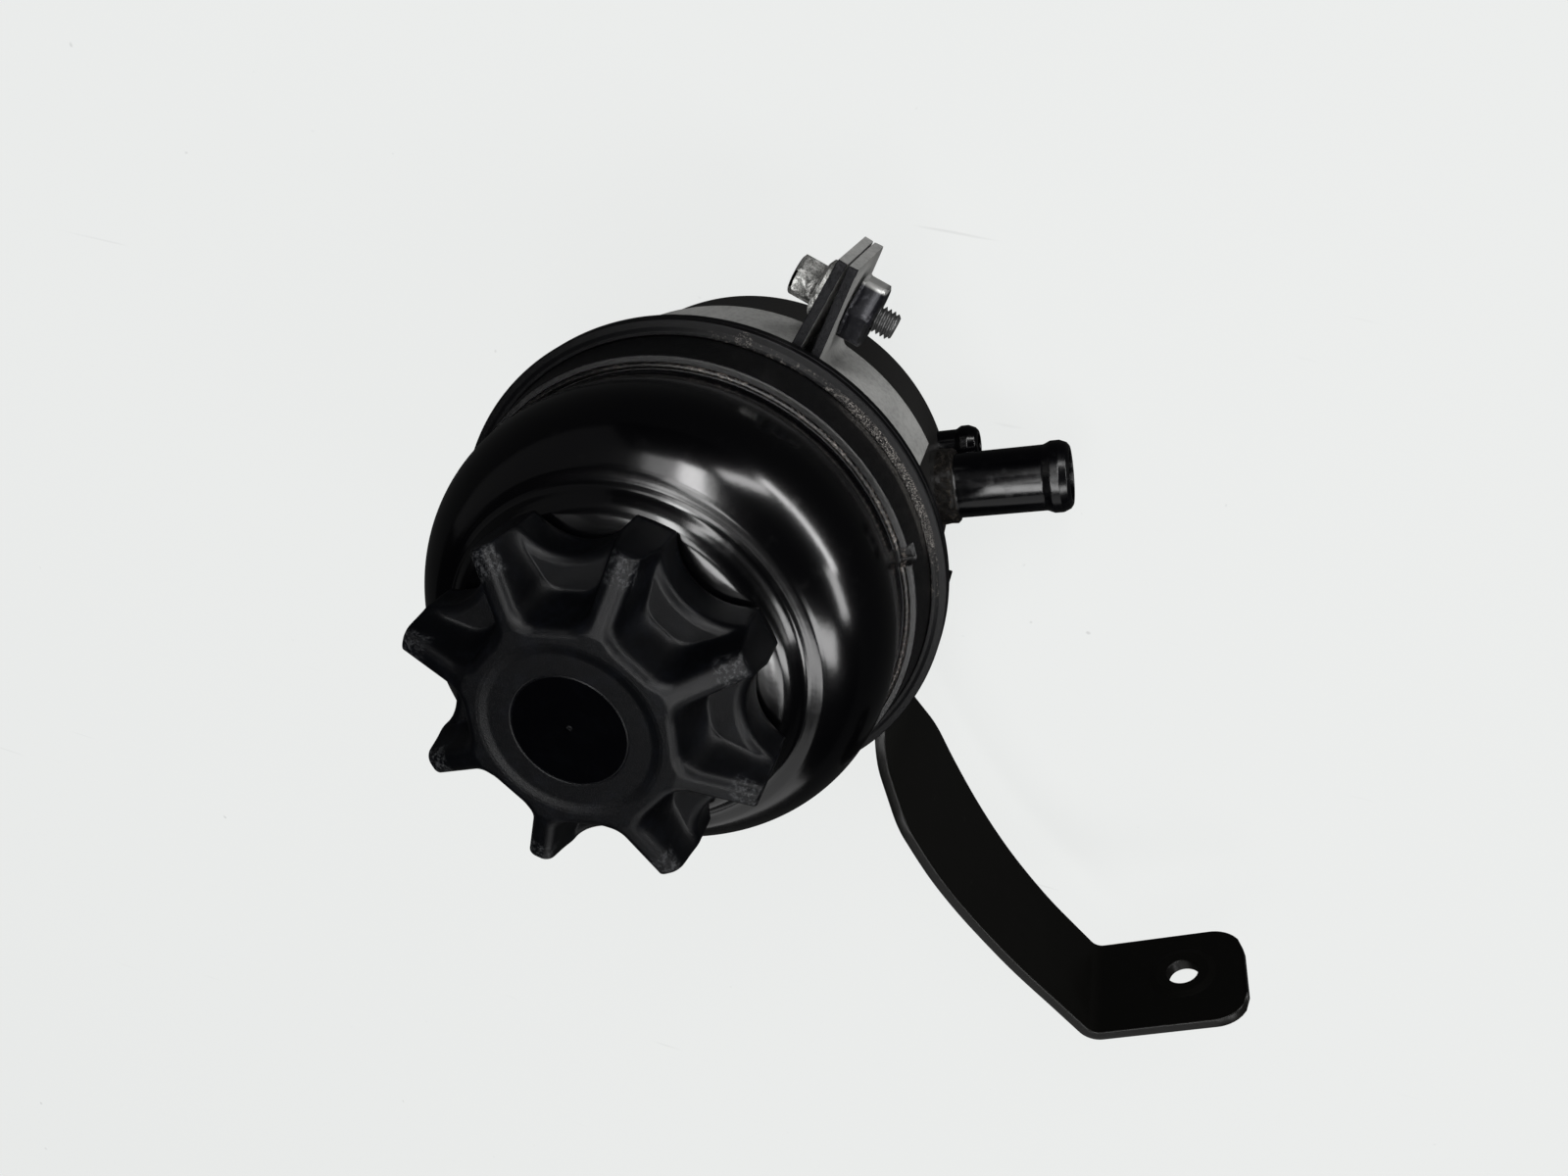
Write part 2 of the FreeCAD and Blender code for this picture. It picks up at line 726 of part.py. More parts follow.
def make_baffle():
    """Round plate on the strainer, with a ring of drain holes and a middle opening."""
    body = new_body("baffle")
    bottom = d["strainer_top"]
    top = bottom + d["baffle_thickness"]
    turn(body, "plate", [
        (d["baffle_opening"], bottom),
        (d["baffle_radius"], bottom),
        (d["baffle_radius"], top),
        (d["baffle_opening"], top),
    ])
    hole = new_sketch(body, "drain_circle", "XY_Plane", top)
    circle(hole, d["baffle_hole_circle"], 0, d["baffle_hole_radius"])
    drain = pocket(body, "drain", hole, d["baffle_thickness"] + 1.0, reverse=False)
    around(body, "drains", drain, d["baffle_holes"])
    return body


# sheet metal: a path of lines and arcs, thickened and raised

def walk(start, heading, moves):
    """Edges, end point and end heading of a path of straight and curved moves.

    A move is ("line", length) or ("arc", radius, turn), where a positive turn is to the left.
    """
    edges = []
    here = start
    for move in moves:
        forward = Vector(math.cos(math.radians(heading)), math.sin(math.radians(heading)), 0)
        if move[0] == "line":
            ahead = here + forward * move[1]
            edges.append(Part.LineSegment(here, ahead).toShape())
        else:
            side = 1.0 if move[2] > 0 else -1.0
            centre = here + Vector(-forward.y, forward.x, 0) * (side * move[1])
            middle = centre + Rotation(UP, move[2] / 2).multVec(here - centre)
            ahead = centre + Rotation(UP, move[2]).multVec(here - centre)
            edges.append(Part.Arc(here, middle, ahead).toShape())
            heading += move[2]
        here = ahead
    return edges, here, heading


def sheet_strip(start, heading, moves, thickness, bottom, top):
    """A strip of sheet standing along Z, with its material on the path's right-hand side."""
    angle = math.radians(heading)
    right = Vector(math.sin(angle), -math.cos(angle), 0)
    far_moves = []
    for move in moves:
        if move[0] == "line":
            far_moves.append(move)
        else:
            grow = thickness if move[2] > 0 else -thickness
            far_moves.append(("arc", move[1] + grow, move[2]))
    near, near_end, _ = walk(start, heading, moves)
    far, far_end, _ = walk(start + right * thickness, heading, far_moves)
    caps = [
        Part.LineSegment(near_end, far_end).toShape(),
        Part.LineSegment(start + right * thickness, start).toShape(),
    ]
    face = Part.Face(Part.Wire(Part.__sortEdges__(near + far + caps)))
    face.translate(Vector(0, 0, bottom))
    return face.extrude(Vector(0, 0, top - bottom))


def ear_axes():
    """Unit vectors of the clamp's ears: outwards, and along the bolt towards its head."""
    turned = Rotation(UP, size("ear_azimuth"))
    return turned.multVec(Vector(1, 0, 0)), turned.multVec(Vector(0, 1, 0))


def make_clamp_strap():
    """Steel band folded from one strip, with both ends bent outwards as bored ears."""
    inner = size("cup_radius") + size("seat_clearance")
    thickness = size("strap_thickness")
    outer_bend = size("ear_bend") + thickness
    lean = math.radians(size("ear_lean"))
    half_gap = size("ear_gap") / 2
    reach = size("ear_reach")
    bottom = size("strap_bottom")
    top = bottom + size("strap_width")
    offset = (half_gap + reach * math.tan(lean)) * math.cos(lean) + outer_bend
    bend = math.degrees(math.asin(offset / (inner + outer_bend)))
    bend_foot = math.sqrt((inner + outer_bend) ** 2 - offset ** 2)
    ear_length = reach * math.cos(lean) - half_gap * math.sin(lean) - bend_foot
    moves = [
        ("line", ear_length),
        ("arc", outer_bend, -(90.0 - bend)),
        ("arc", inner, 360.0 - 2 * (bend - size("ear_lean"))),
        ("arc", outer_bend, -(90.0 - bend)),
        ("line", ear_length),
    ]
    outward, along = ear_axes()
    heading = size("ear_azimuth") + 180.0 - size("ear_lean")
    band = sheet_strip(outward * reach + along * half_gap, heading, moves, thickness, bottom, top)
    hole_radius = size("bolt_thread") + size("bolt_hole_clearance")
    centre = outward * size("bolt_radial") + UP * size("bolt_height")
    span = size("bolt_edge")
    band = band.cut(Part.makeCylinder(hole_radius, 2 * span, centre - along * span, along))
    return shape_node("clamp_strap", round_ears(relieve(band)))


def relieve(band):
    """Opens the band's lower edge round the suction nozzle's collar."""
    half = size("relief_half_width")
    depth = size("relief_top") - size("strap_bottom")
    corner = size("ear_corner")
    reach = size("rim_reach")
    foot = Vector(size("cup_radius") - reach, -half, size("strap_bottom") - corner)
    block = Part.makeBox(3 * reach, 2 * half, depth + corner, foot)
    upper = [e for e in block.Edges if abs(e.BoundBox.ZMin - size("relief_top")) < 1e-6
             and e.BoundBox.XLength > 2 * reach]
    block = block.makeFillet(corner, upper)
    block.rotate(ORIGIN, UP, size("nozzle_azimuth"))
    return band.cut(block)


def round_ears(band):
    """Rounds the two outer corners of both ears."""
    corner = size("ear_corner")
    reach = size("ear_reach")
    bottom = size("strap_bottom")
    top = bottom + size("strap_width")
    wide = size("bolt_edge")
    for height, sign in ((top, -1.0), (bottom, 1.0)):
        centre = Vector(reach - corner, -wide, height + sign * corner)
        low = min(centre.z, height - sign)
        block = Part.makeBox(corner + 1, 2 * wide, corner + 1, Vector(centre.x, -wide, low))
        waste = block.cut(Part.makeCylinder(corner, 2 * wide, centre, Vector(0, 1, 0)))
        waste.rotate(ORIGIN, UP, size("ear_azimuth"))
        band = band.cut(waste)
    return band


# bolt, washer and nut of the clamp

def bolt_place(distance):
    """Placement whose Z axis runs along the bolt, at a distance from the ears' middle."""
    outward, along = ear_axes()
    point = outward * size("bolt_radial") + UP * size("bolt_height") + along * distance
    return Placement(point, Rotation(Vector(0, 0, 1), along))


def ear_face():
    """Distance from the ears' middle to the highest point under the washer or nut."""
    lean = math.radians(size("ear_lean"))
    inner_edge = size("bolt_radial") - max(size("washer_radius"), size("nut_flange_radius"))
    rise = (size("ear_reach") - inner_edge) * math.tan(lean)
    return size("ear_gap") / 2 + rise + size("strap_thickness") / math.cos(lean)


def hexagon(sketch, flats):
    """A hexagon round the origin, with two of its flats along the sketch's X axis."""
    apothem = flats / 2.0
    corner = flats * (0.5 / math.cos(math.radians(30)))
    side = corner * 0.5
    outline(sketch, [
        (corner, 0),
        (side, apothem),
        (-1.0 * side, apothem),
        (-1.0 * corner, 0),
        (-1.0 * side, -1.0 * apothem),
        (side, -1.0 * apothem),
    ])


def chamfer_corners(body, name, flats, high):
    """Turns a hexagon's corners down to a cone at its upper end."""
    corner = flats * 0.6
    face = flats * 0.5 - 0.2
    turn(body, name, [
        (face, high),
        (corner, high - d["bolt_chamfer"] * 1.2),
        (corner, high + 1.0),
        (face, high + 1.0),
    ], cut=True)


def make_clamp_bolt():
    """Hexagon bolt, head upwards on its own Z axis, shank without thread form."""
    body = new_body("clamp_bolt")
    head = new_sketch(body, "head_outline", "XY_Plane")
    hexagon(head, d["bolt_flats"])
    pad(body, "head", head, d["bolt_head_height"])
    chamfer_corners(body, "head_chamfer", d["bolt_flats"], d["bolt_head_height"])
    grip = 2 * ear_face() + size("washer_thickness")
    length = grip + size("nut_height") + size("nut_flange_height") + size("thread_stick_out")
    sheet_length = Size.of(length)
    turn(body, "shank", [
        (0, 0.5),
        (0, -1.0 * sheet_length),
        (d["bolt_thread"] - 0.6, -1.0 * sheet_length),
        (d["bolt_thread"], 0.6 - sheet_length),
        (d["bolt_thread"], 0.5),
    ])
    body.Placement = bolt_place(ear_face() + size("washer_thickness"))
    return body


def make_clamp_washer():
    """Plain washer between the bolt's head and the ear."""
    body = new_body("clamp_washer")
    hole = d["bolt_thread"] + d["bolt_hole_clearance"]
    turn(body, "disc", [
        (hole, 0),
        (d["washer_radius"], 0),
        (d["washer_radius"], d["washer_thickness"]),
        (hole, d["washer_thickness"]),
    ])
    body.Placement = bolt_place(ear_face())
    return body


def make_clamp_nut():
    """Hexagon nut with a flange, bored to the bolt's outer diameter."""
    body = new_body("clamp_nut")
    outline_sketch = new_sketch(body, "nut_outline", "XY_Plane")
    hexagon(outline_sketch, d["nut_flats"])
    height = d["nut_height"] + d["nut_flange_height"]
    pad(body, "hexagon", outline_sketch, height)
    turn(body, "flange", [
        (0, 0),
        (d["nut_flange_radius"], 0),
        (d["nut_flange_radius"], d["nut_flange_height"] * 0.5),
        (d["nut_flats"] / 2.0, d["nut_flange_height"] + 0.2),
        (0, d["nut_flange_height"] + 0.2),
    ])
    chamfer_corners(body, "nut_chamfer", d["nut_flats"], height)
    sketch = new_sketch(body, "thread_circle", "XY_Plane")
    circle(sketch, 0, 0, d["bolt_thread"] + 0.02)
    pocket(body, "thread_bore", sketch, height + 1.0)
    flip = Placement(ORIGIN, Rotation(Vector(1, 0, 0), 180))
    body.Placement = bolt_place(-ear_face()).multiply(flip)
    return body


# bracket arm

def make_bracket_arm():
    """Steel arm welded on the band: it leaves in an S curve, runs out and ends in a tab."""
    thickness = size("arm_thickness")
    root = size("cup_radius") + size("seat_clearance") + size("strap_thickness") + thickness
    begin = size("arm_root_start")
    start = Rotation(UP, begin).multVec(Vector(root, 0, 0))
    moves = [
        ("arc", root, -size("arm_root_turn")),
        ("arc", size("arm_swing_radius"), size("arm_swing_turn")),
        ("line", size("arm_straight")),
        ("arc", size("arm_curve_radius"), size("arm_curve_turn")),
        ("line", size("arm_run_out")),
        ("arc", size("tab_bend_radius"), size("tab_bend_turn")),
        ("line", size("tab_length")),
    ]
    blank = sheet_strip(start, begin - 90.0, moves, thickness, 0, size("arm_top") + 1)
    _, bend_end, tab_heading = walk(start, begin - 90.0, moves[:-1])
    tab_dir = Rotation(UP, tab_heading).multVec(Vector(1, 0, 0))
    tab_out = Rotation(UP, tab_heading + 90.0).multVec(Vector(1, 0, 0))
    shape = blank.common(side_outline())
    centre = bend_end + tab_dir * size("tab_hole_distance") + UP * size("tab_hole_height")
    boss_foot = centre - tab_out * 0.2
    boss = Part.makeCylinder(size("emboss_radius"), size("emboss_height") + 0.2, boss_foot, tab_out)
    shape = shape.fuse(boss)
    bore_foot = centre - tab_out * (2 * thickness)
    bore = Part.makeCylinder(size("tab_hole_radius"), 4 * thickness, bore_foot, tab_out)
    shape = shape.cut(bore)
    shape = round_tab(shape, bend_end, tab_dir, tab_out)
    return shape_node("bracket_arm", shape)


def side_outline():
    """Prism of the arm's tapering height, drawn along the arm and swept across it."""
    along = Rotation(UP, size("arm_azimuth")).multVec(Vector(1, 0, 0))
    across = Rotation(UP, size("arm_azimuth") + 90.0).multVec(Vector(1, 0, 0))
    clear = size("rim_top") - size("rim_thickness") - size("rim_gap")
    root_low = size("strap_bottom") + 0.8
    lower = [(20, root_low), (57, root_low - 2)]
    upper = [(20, clear), (59, clear), (63, clear + 3)]
    lower += [(u, size("arm_bottom") + rise) for u, rise, _ in ARM_TAPER]
    upper += [(u, size("arm_top") - fall) for u, _, fall in ARM_TAPER]
    wide = 2 * size("cup_radius")
    corners = [along * u + UP * z - across * wide for u, z in lower + upper[::-1]]
    face = Part.Face(Part.makePolygon(corners + corners[:1]))
    return face.extrude(across * (2 * wide))


def round_tab(shape, bend_end, tab_dir, tab_out):
    """Rounds the two far corners of the tab."""
    corner = size("tab_corner")
    end = bend_end + tab_dir * size("tab_length")
    top = size("arm_top") - ARM_TAPER[-1][2] + 0.2
    bottom = size("arm_bottom") + ARM_TAPER[-1][1] - 0.3
    wide = size("tab_margin")
    for height, sign in ((top, -1.0), (bottom, 1.0)):
        middle = end - tab_dir * corner + UP * (height + sign * corner) - tab_out * wide
        outwards = tab_dir * (corner + 2)
        edgewards = UP * (-sign * (corner + 4))
        wire = Part.makePolygon([
            middle, middle + outwards, middle + outwards + edgewards, middle + edgewards, middle,
        ])
        pin = Part.makeCylinder(corner, 2 * wide, middle, tab_out)
        shape = shape.cut(Part.Face(wire).extrude(tab_out * (2 * wide)).cut(pin))
    return shape


# export

def check_document(nodes):
    """Stops when any object failed or any sub-part's shape is missing or invalid."""
    for item in doc.Objects:
        if "Invalid" in item.State or "Error" in item.State:
            raise RuntimeError("object failed: " + item.Label)
    for node in nodes:
        if node.Shape.isNull() or not node.Shape.isValid() or len(node.Shape.Solids) != 1:
            raise RuntimeError("bad shape: " + node.Label)


def main():
    nodes = [
        make_lower_shell(),
        make_upper_shell(),
        make_cap(),
        make_cap_seal(),
        make_dipstick(),
        make_nozzle("suction_nozzle", d["suction_height"], 0, d["suction_radius"],
                    d["suction_bore"], d["suction_bead"], d["suction_tip"]),
        make_nozzle("return_nozzle", d["return_height"], d["return_offset"], d["return_radius"],
                    d["return_bore"], d["return_bead"], d["return_tip"]),
        make_strainer_frame(),
        make_strainer_mesh(),
        make_baffle(),
        make_clamp_strap(),
        make_clamp_bolt(),
        make_clamp_washer(),
        make_clamp_nut(),
        make_bracket_arm(),
    ]
    doc.recompute()
    check_document(nodes)
    os.makedirs("parts", exist_ok=True)
    for node in nodes:
        node.Shape.exportStep("parts/%s.step" % node.Label)


main()
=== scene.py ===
import math

import bpy
import numpy as np
from mathutils import Matrix, Vector


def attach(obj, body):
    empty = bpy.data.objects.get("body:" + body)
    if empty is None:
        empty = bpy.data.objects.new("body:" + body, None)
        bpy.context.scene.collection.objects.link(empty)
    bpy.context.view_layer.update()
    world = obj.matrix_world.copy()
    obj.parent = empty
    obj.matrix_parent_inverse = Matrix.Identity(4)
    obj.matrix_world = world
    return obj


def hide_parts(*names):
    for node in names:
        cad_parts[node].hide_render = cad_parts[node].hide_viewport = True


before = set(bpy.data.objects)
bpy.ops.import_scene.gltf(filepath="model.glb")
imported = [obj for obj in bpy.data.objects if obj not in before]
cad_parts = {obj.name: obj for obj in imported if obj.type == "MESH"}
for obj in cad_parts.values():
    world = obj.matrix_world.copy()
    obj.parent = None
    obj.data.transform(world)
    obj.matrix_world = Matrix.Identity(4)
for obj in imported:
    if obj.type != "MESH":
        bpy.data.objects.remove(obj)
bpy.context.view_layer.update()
MM = 0.001
TAU = 2 * math.pi
UP = np.array([0, 0, 1.0])

# driving sizes, in millimetres and degrees about the reservoir's axis

TAIL_AZIMUTH = 19.5
TAIL_ROOT = 45.4
SUCTION_HEIGHT = 18.85
RETURN_HEIGHT = 5.4
RETURN_OFFSET = 5.3

RIM_TOP = 58.0
NOTCH_AZIMUTH = 24.0
NOTCH_FLOOR = 64.8

LOBES = 8
LOBE_AZIMUTH = 34.4
CAP_TOP = 123.9
CAP_FOOT = 104.7
POCKET_FLOOR = 113.4
SCALLOP_RADIUS = 12.0
SCALLOP_CENTRE = 40.6

CLAMP_AZIMUTH = 72.3
STRAP_RADIUS = 49.4
STRAP_THICKNESS = 2.0
EAR_REACH = 74.4
EAR_LEAN = 3.0
EAR_GAP = 0.2
BOLT_RADIUS = 64.3
BOLT_HEIGHT = 39.6

ARM_THICKNESS = 2.5
TAB_LENGTH = 35.5
TAB_AZIMUTH = 32.0
TAB_HOLE_DISTANCE = 20.4
TAB_HOLE_HEIGHT = 38.6
TAB_HOLE_RADIUS = 3.9

ROOM_COLOR = (0.87, 0.885, 0.875, 1)


def heading(azimuth):
    """Unit vector in the plane of the table at an azimuth in degrees."""
    a = math.radians(azimuth)
    return np.array([math.cos(a), math.sin(a), 0])


# meshes

def grid_faces(count, around, flip=False):
    """Quads that join each row of points to the next, every row closed on itself."""
    index = np.arange(count * around).reshape(count, around)
    cells = np.hstack([index, index[:, :1]])
    quads = np.stack([cells[:-1, :-1], cells[1:, :-1], cells[1:, 1:], cells[:-1, 1:]], -1)
    quads = quads.reshape(-1, 4)
    return quads[:, ::-1].tolist() if flip else quads.tolist()


def make_mesh(name, points, faces, flat=0):
    """A smooth mesh from points in millimetres, with so many of its last faces flat."""
    mesh = bpy.data.meshes.new(name)
    mesh.from_pydata((np.asarray(points) * MM).tolist(), [], faces)
    mesh.polygons.foreach_set("use_smooth", np.arange(len(faces)) < len(faces) - flat)
    mesh.update()
    return mesh


def grid_mesh(name, points, flip=False):
    """A surface through points [row, place in its closed row, xyz] in millimetres."""
    return make_mesh(name, points.reshape(-1, 3), grid_faces(*points.shape[:2], flip))


def points_of(mesh):
    """A mesh's points as an array."""
    flat = np.empty(len(mesh.vertices) * 3)
    mesh.vertices.foreach_get("co", flat)
    return flat.reshape(-1, 3)


def joined(name, meshes):
    """One mesh from several meshes of quads."""
    points, quads, offset = [], [], 0
    for mesh in meshes:
        corners = np.empty(len(mesh.loops), np.int32)
        mesh.loops.foreach_get("vertex_index", corners)
        points.append(points_of(mesh) / MM)
        quads.append(corners.reshape(-1, 4) + offset)
        offset += len(mesh.vertices)
    return make_mesh(name, np.vstack(points), np.vstack(quads).tolist())


def turned_outward(mesh):
    """Flips a closed mesh whose faces look inwards, judged by its signed volume."""
    mesh.calc_loop_triangles()
    corners = np.empty(len(mesh.loop_triangles) * 3, np.int32)
    mesh.loop_triangles.foreach_get("vertices", corners)
    first, second, third = points_of(mesh)[corners.reshape(-1, 3)].transpose(1, 0, 2)
    if np.sum(first * np.cross(second, third)) < 0:
        mesh.flip_normals()
    return mesh


def add(name, meshes, material, body, nodes):
    """One piece from one or more meshes, riding on a body and standing for CAD nodes."""
    whole = joined(name, meshes) if len(meshes) > 1 else meshes[0]
    piece = bpy.data.objects.new(name, whole)
    bpy.context.scene.collection.objects.link(piece)
    whole.materials.append(material)
    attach(piece, body)
    if nodes:
        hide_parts(*nodes)
    return piece


# profiles

def rounded(points, spacing=1.5):
    """Points (a, b) or (a, b, fillet) joined by lines, with each fillet as a fine arc."""
    pts = [np.array(p[:2], float) for p in points]
    fillets = [p[2] if len(p) > 2 else 0.0 for p in points]
    count = len(pts)
    out = []
    for i in range(count):
        here = pts[i]
        if i in (0, count - 1) or fillets[i] <= 0:
            out.append([here])
            continue
        before, after = pts[i - 1], pts[i + 1]
        a = (before - here) / np.linalg.norm(before - here)
        b = (after - here) / np.linalg.norm(after - here)
        angle = math.acos(np.clip(a @ b, -1, 1))
        reach = min(fillets[i] / math.tan(angle / 2),
                    0.48 * np.linalg.norm(before - here), 0.48 * np.linalg.norm(after - here))
        radius = reach * math.tan(angle / 2)
        middle = here + (a + b) / np.linalg.norm(a + b) * radius / math.sin(angle / 2)
        start, end = here + a * reach - middle, here + b * reach - middle
        turn = math.pi - angle
        steps = max(3, int(turn / 0.22))
        arc = [middle + (math.sin(turn * (1 - t)) * start + math.sin(turn * t) * end)
               / math.sin(turn) for t in np.linspace(0, 1, steps + 1)]
        out.append(arc)
    flat = []
    for group in out:
        if flat:
            flat += between(flat[-1], group[0], spacing)
        flat += group
    return np.array(flat)


def between(a, b, spacing):
    """Evenly spaced points strictly between a and b, with one close to each end."""
    length = np.linalg.norm(b - a)
    if length < 0.3:
        return []
    shares = {0.12 / length, 1 - 0.12 / length}
    shares |= set(np.linspace(0, 1, max(1, int(length / spacing)) + 1)[1:-1])
    return [a + (b - a) * t for t in sorted(shares)]


def revolve(name, profile, segments, place=None, shape=None, fine=None):
    """Turns a profile (radius, height) about Z: x = r cos t, y = r sin t, z = height.

    The angles fine, where given, take the place of the even ones in their range.
    """
    t = np.linspace(0, TAU, segments, endpoint=False)
    if fine is not None:
        margin = 0.004
        apart = (t < fine[0] - margin) | (t > fine[-1] + margin)
        t = np.sort(np.append(t[apart], fine))
    r = profile[:, 0][:, None] + 0 * t
    z = profile[:, 1][:, None] + 0 * t
    if shape is not None:
        r, z = shape(r, z, t[None, :] + 0 * r)
    points = np.stack([r * np.cos(t), r * np.sin(t), z], -1)
    if place is not None:
        points = place(points)
    return grid_mesh(name, points, flip=True)


def laid_out(origin, x_axis, y_axis, z_axis):
    """Lays a piece at an origin, with its x, y and z along three directions."""

    def place(points):
        """Origin plus each coordinate times its direction."""
        return origin + points[..., :1] * x_axis + points[..., 1:2] * y_axis + points[..., 2:] * z_axis

    return place


def catmull(points, steps):
    """A smooth curve through all points, with a tangent from each point's neighbours."""
    p = np.array(points, float)
    p = np.vstack([2 * p[0] - p[1], p, 2 * p[-1] - p[-2]])
    t = np.linspace(0, 1, steps, endpoint=False)[:, None]
    out = []
    for i in range(1, len(p) - 2):
        a, b, c, e = p[i - 1], p[i], p[i + 1], p[i + 2]
        out.append(0.5 * (2 * b + (c - a) * t + (2 * a - 5 * b + 4 * c - e) * t ** 2
                          + (3 * b - a - 3 * c + e) * t ** 3))
    return np.vstack(out + [p[-2:-1]])


# shader maths

def feed(tree, slot, value):
    """Links a shader value or a socket to an input, or sets the input to a constant."""
    if isinstance(value, Sock):
        tree.links.new(value.socket, slot)
    elif isinstance(value, bpy.types.NodeSocket):
        tree.links.new(value, slot)
    else:
        slot.default_value = value


class Sock:
    """A shader value: Python's operators on it make Math nodes."""

    def __init__(self, tree, socket):
        self.tree = tree
        self.socket = socket

    def math(self, operation, *others, clamp=False):
        """A Math node on this value and others, which may be numbers."""
        node = self.tree.nodes.new("ShaderNodeMath")
        node.operation = operation
        node.use_clamp = clamp
        for slot, value in zip(node.inputs, (self,) + others):
            feed(self.tree, slot, value)
        return Sock(self.tree, node.outputs[0])

    def const(self, value):
        """A fixed number as a shader value."""
        node = self.tree.nodes.new("ShaderNodeValue")
        node.outputs[0].default_value = value
        return Sock(self.tree, node.outputs[0])

    def __add__(self, other):
        return self.math("ADD", other)

    def __radd__(self, other):
        return self.math("ADD", other)

    def __sub__(self, other):
        return self.math("SUBTRACT", other)

    def __rsub__(self, other):
        return self.const(other).math("SUBTRACT", self)

    def __mul__(self, other):
        return self.math("MULTIPLY", other)

    def __rmul__(self, other):
        return self.math("MULTIPLY", other)

    def __truediv__(self, other):
        return self.math("DIVIDE", other)

    def __pow__(self, other):
        return self.math("POWER", other)

    def ramp(self, low, high):
        """Rises smoothly from 0 at low to 1 at high."""
        t = ((self - low) / (high - low)).math("ADD", 0.0, clamp=True)
        return t * t * (3.0 - 2.0 * t)

    def band(self, low, high, soft):
        """1 between low and high, falling to 0 within soft on both sides."""
        return self.ramp(low - soft, low) * (1.0 - self.ramp(high, high + soft))


class Nodes:
    """A node tree with one way to add a node, and the sources that every finish reads."""

    def __init__(self, tree):
        self.tree = tree

    def node(self, kind, values=None, **settings):
        """A node of a type: its settings are set first, then its inputs are fed by key."""
        node = self.tree.nodes.new(kind)
        for name, setting in settings.items():
            setattr(node, name, setting)
        for key, value in (values or {}).items():
            feed(self.tree, node.inputs[key], value)
        return node

    def object_coords(self):
        """Object coordinates, in metres."""
        return self.node("ShaderNodeTexCoord").outputs["Object"]

    def camera_ray(self):
        """1 where the camera looks straight at the surface, 0 in reflections and for light."""
        return Sock(self.tree, self.node("ShaderNodeLightPath").outputs["Is Camera Ray"])


class Paint(Nodes):
    """A Principled material with its coordinates in millimetres and textures at hand."""

    def __init__(self, name, color, rough, metal=0.0, spec=0.5):
        self.material = bpy.data.materials.new(name)
        self.material.use_nodes = True
        super().__init__(self.material.node_tree)
        self.shader = self.tree.nodes["Principled BSDF"]
        self.set("Base Color", (*color, 1))
        self.set("Roughness", rough)
        self.set("Metallic", metal)
        self.set("Specular IOR Level", spec)
        scaled = {0: self.object_coords(), "Scale": 1.0 / MM}
        self.coords = self.node("ShaderNodeVectorMath", scaled, operation="SCALE").outputs[0]
        split = self.node("ShaderNodeSeparateXYZ", {0: self.coords})
        self.x, self.y, self.z = (Sock(self.tree, o) for o in split.outputs)

    def set(self, name, value):
        """Feeds an input of the Principled shader."""
        feed(self.tree, self.shader.inputs[name], value)

    def noise(self, scale, detail=4.0, rough=0.55, stretch=None, distortion=0.0):
        """Noise from 0 to 1, with features about 1 / scale millimetres wide."""
        vector = self.coords
        if stretch is not None:
            stretched = {"Vector": self.coords, "Scale": stretch}
            vector = self.node("ShaderNodeMapping", stretched).outputs[0]
        values = {"Vector": vector, "Scale": scale, "Detail": detail, "Roughness": rough,
                  "Distortion": distortion}
        return Sock(self.tree, self.node("ShaderNodeTexNoise", values).outputs["Fac"])

    def mix(self, share, first, second):
        """Colour mix by a share from 0 to 1."""
        first, second = ((*c, 1) if isinstance(c, tuple) else c for c in (first, second))
        return self.node("ShaderNodeMix", {0: share, 6: first, 7: second},
                         data_type="RGBA").outputs[2]

    def radius(self):
        """Distance from the reservoir's axis."""
        return (self.x * self.x + self.y * self.y) ** 0.5

    def azimuth(self):
        """Angle about the reservoir's axis, in degrees from -180 to 180."""
        return self.y.math("ARCTAN2", self.x) * (180.0 / math.pi)

    def along(self, azimuth):
        """Distance from the reservoir's axis along a direction, in degrees."""
        a = math.radians(azimuth)
        return self.x * math.cos(a) + self.y * math.sin(a)

    def bump(self, height):
        """Height in millimetres, seen through the normal."""
        values = {"Height": height * MM, "Distance": 1.0, "Strength": 1.0}
        self.set("Normal", self.node("ShaderNodeBump", values).outputs[0])


# materials

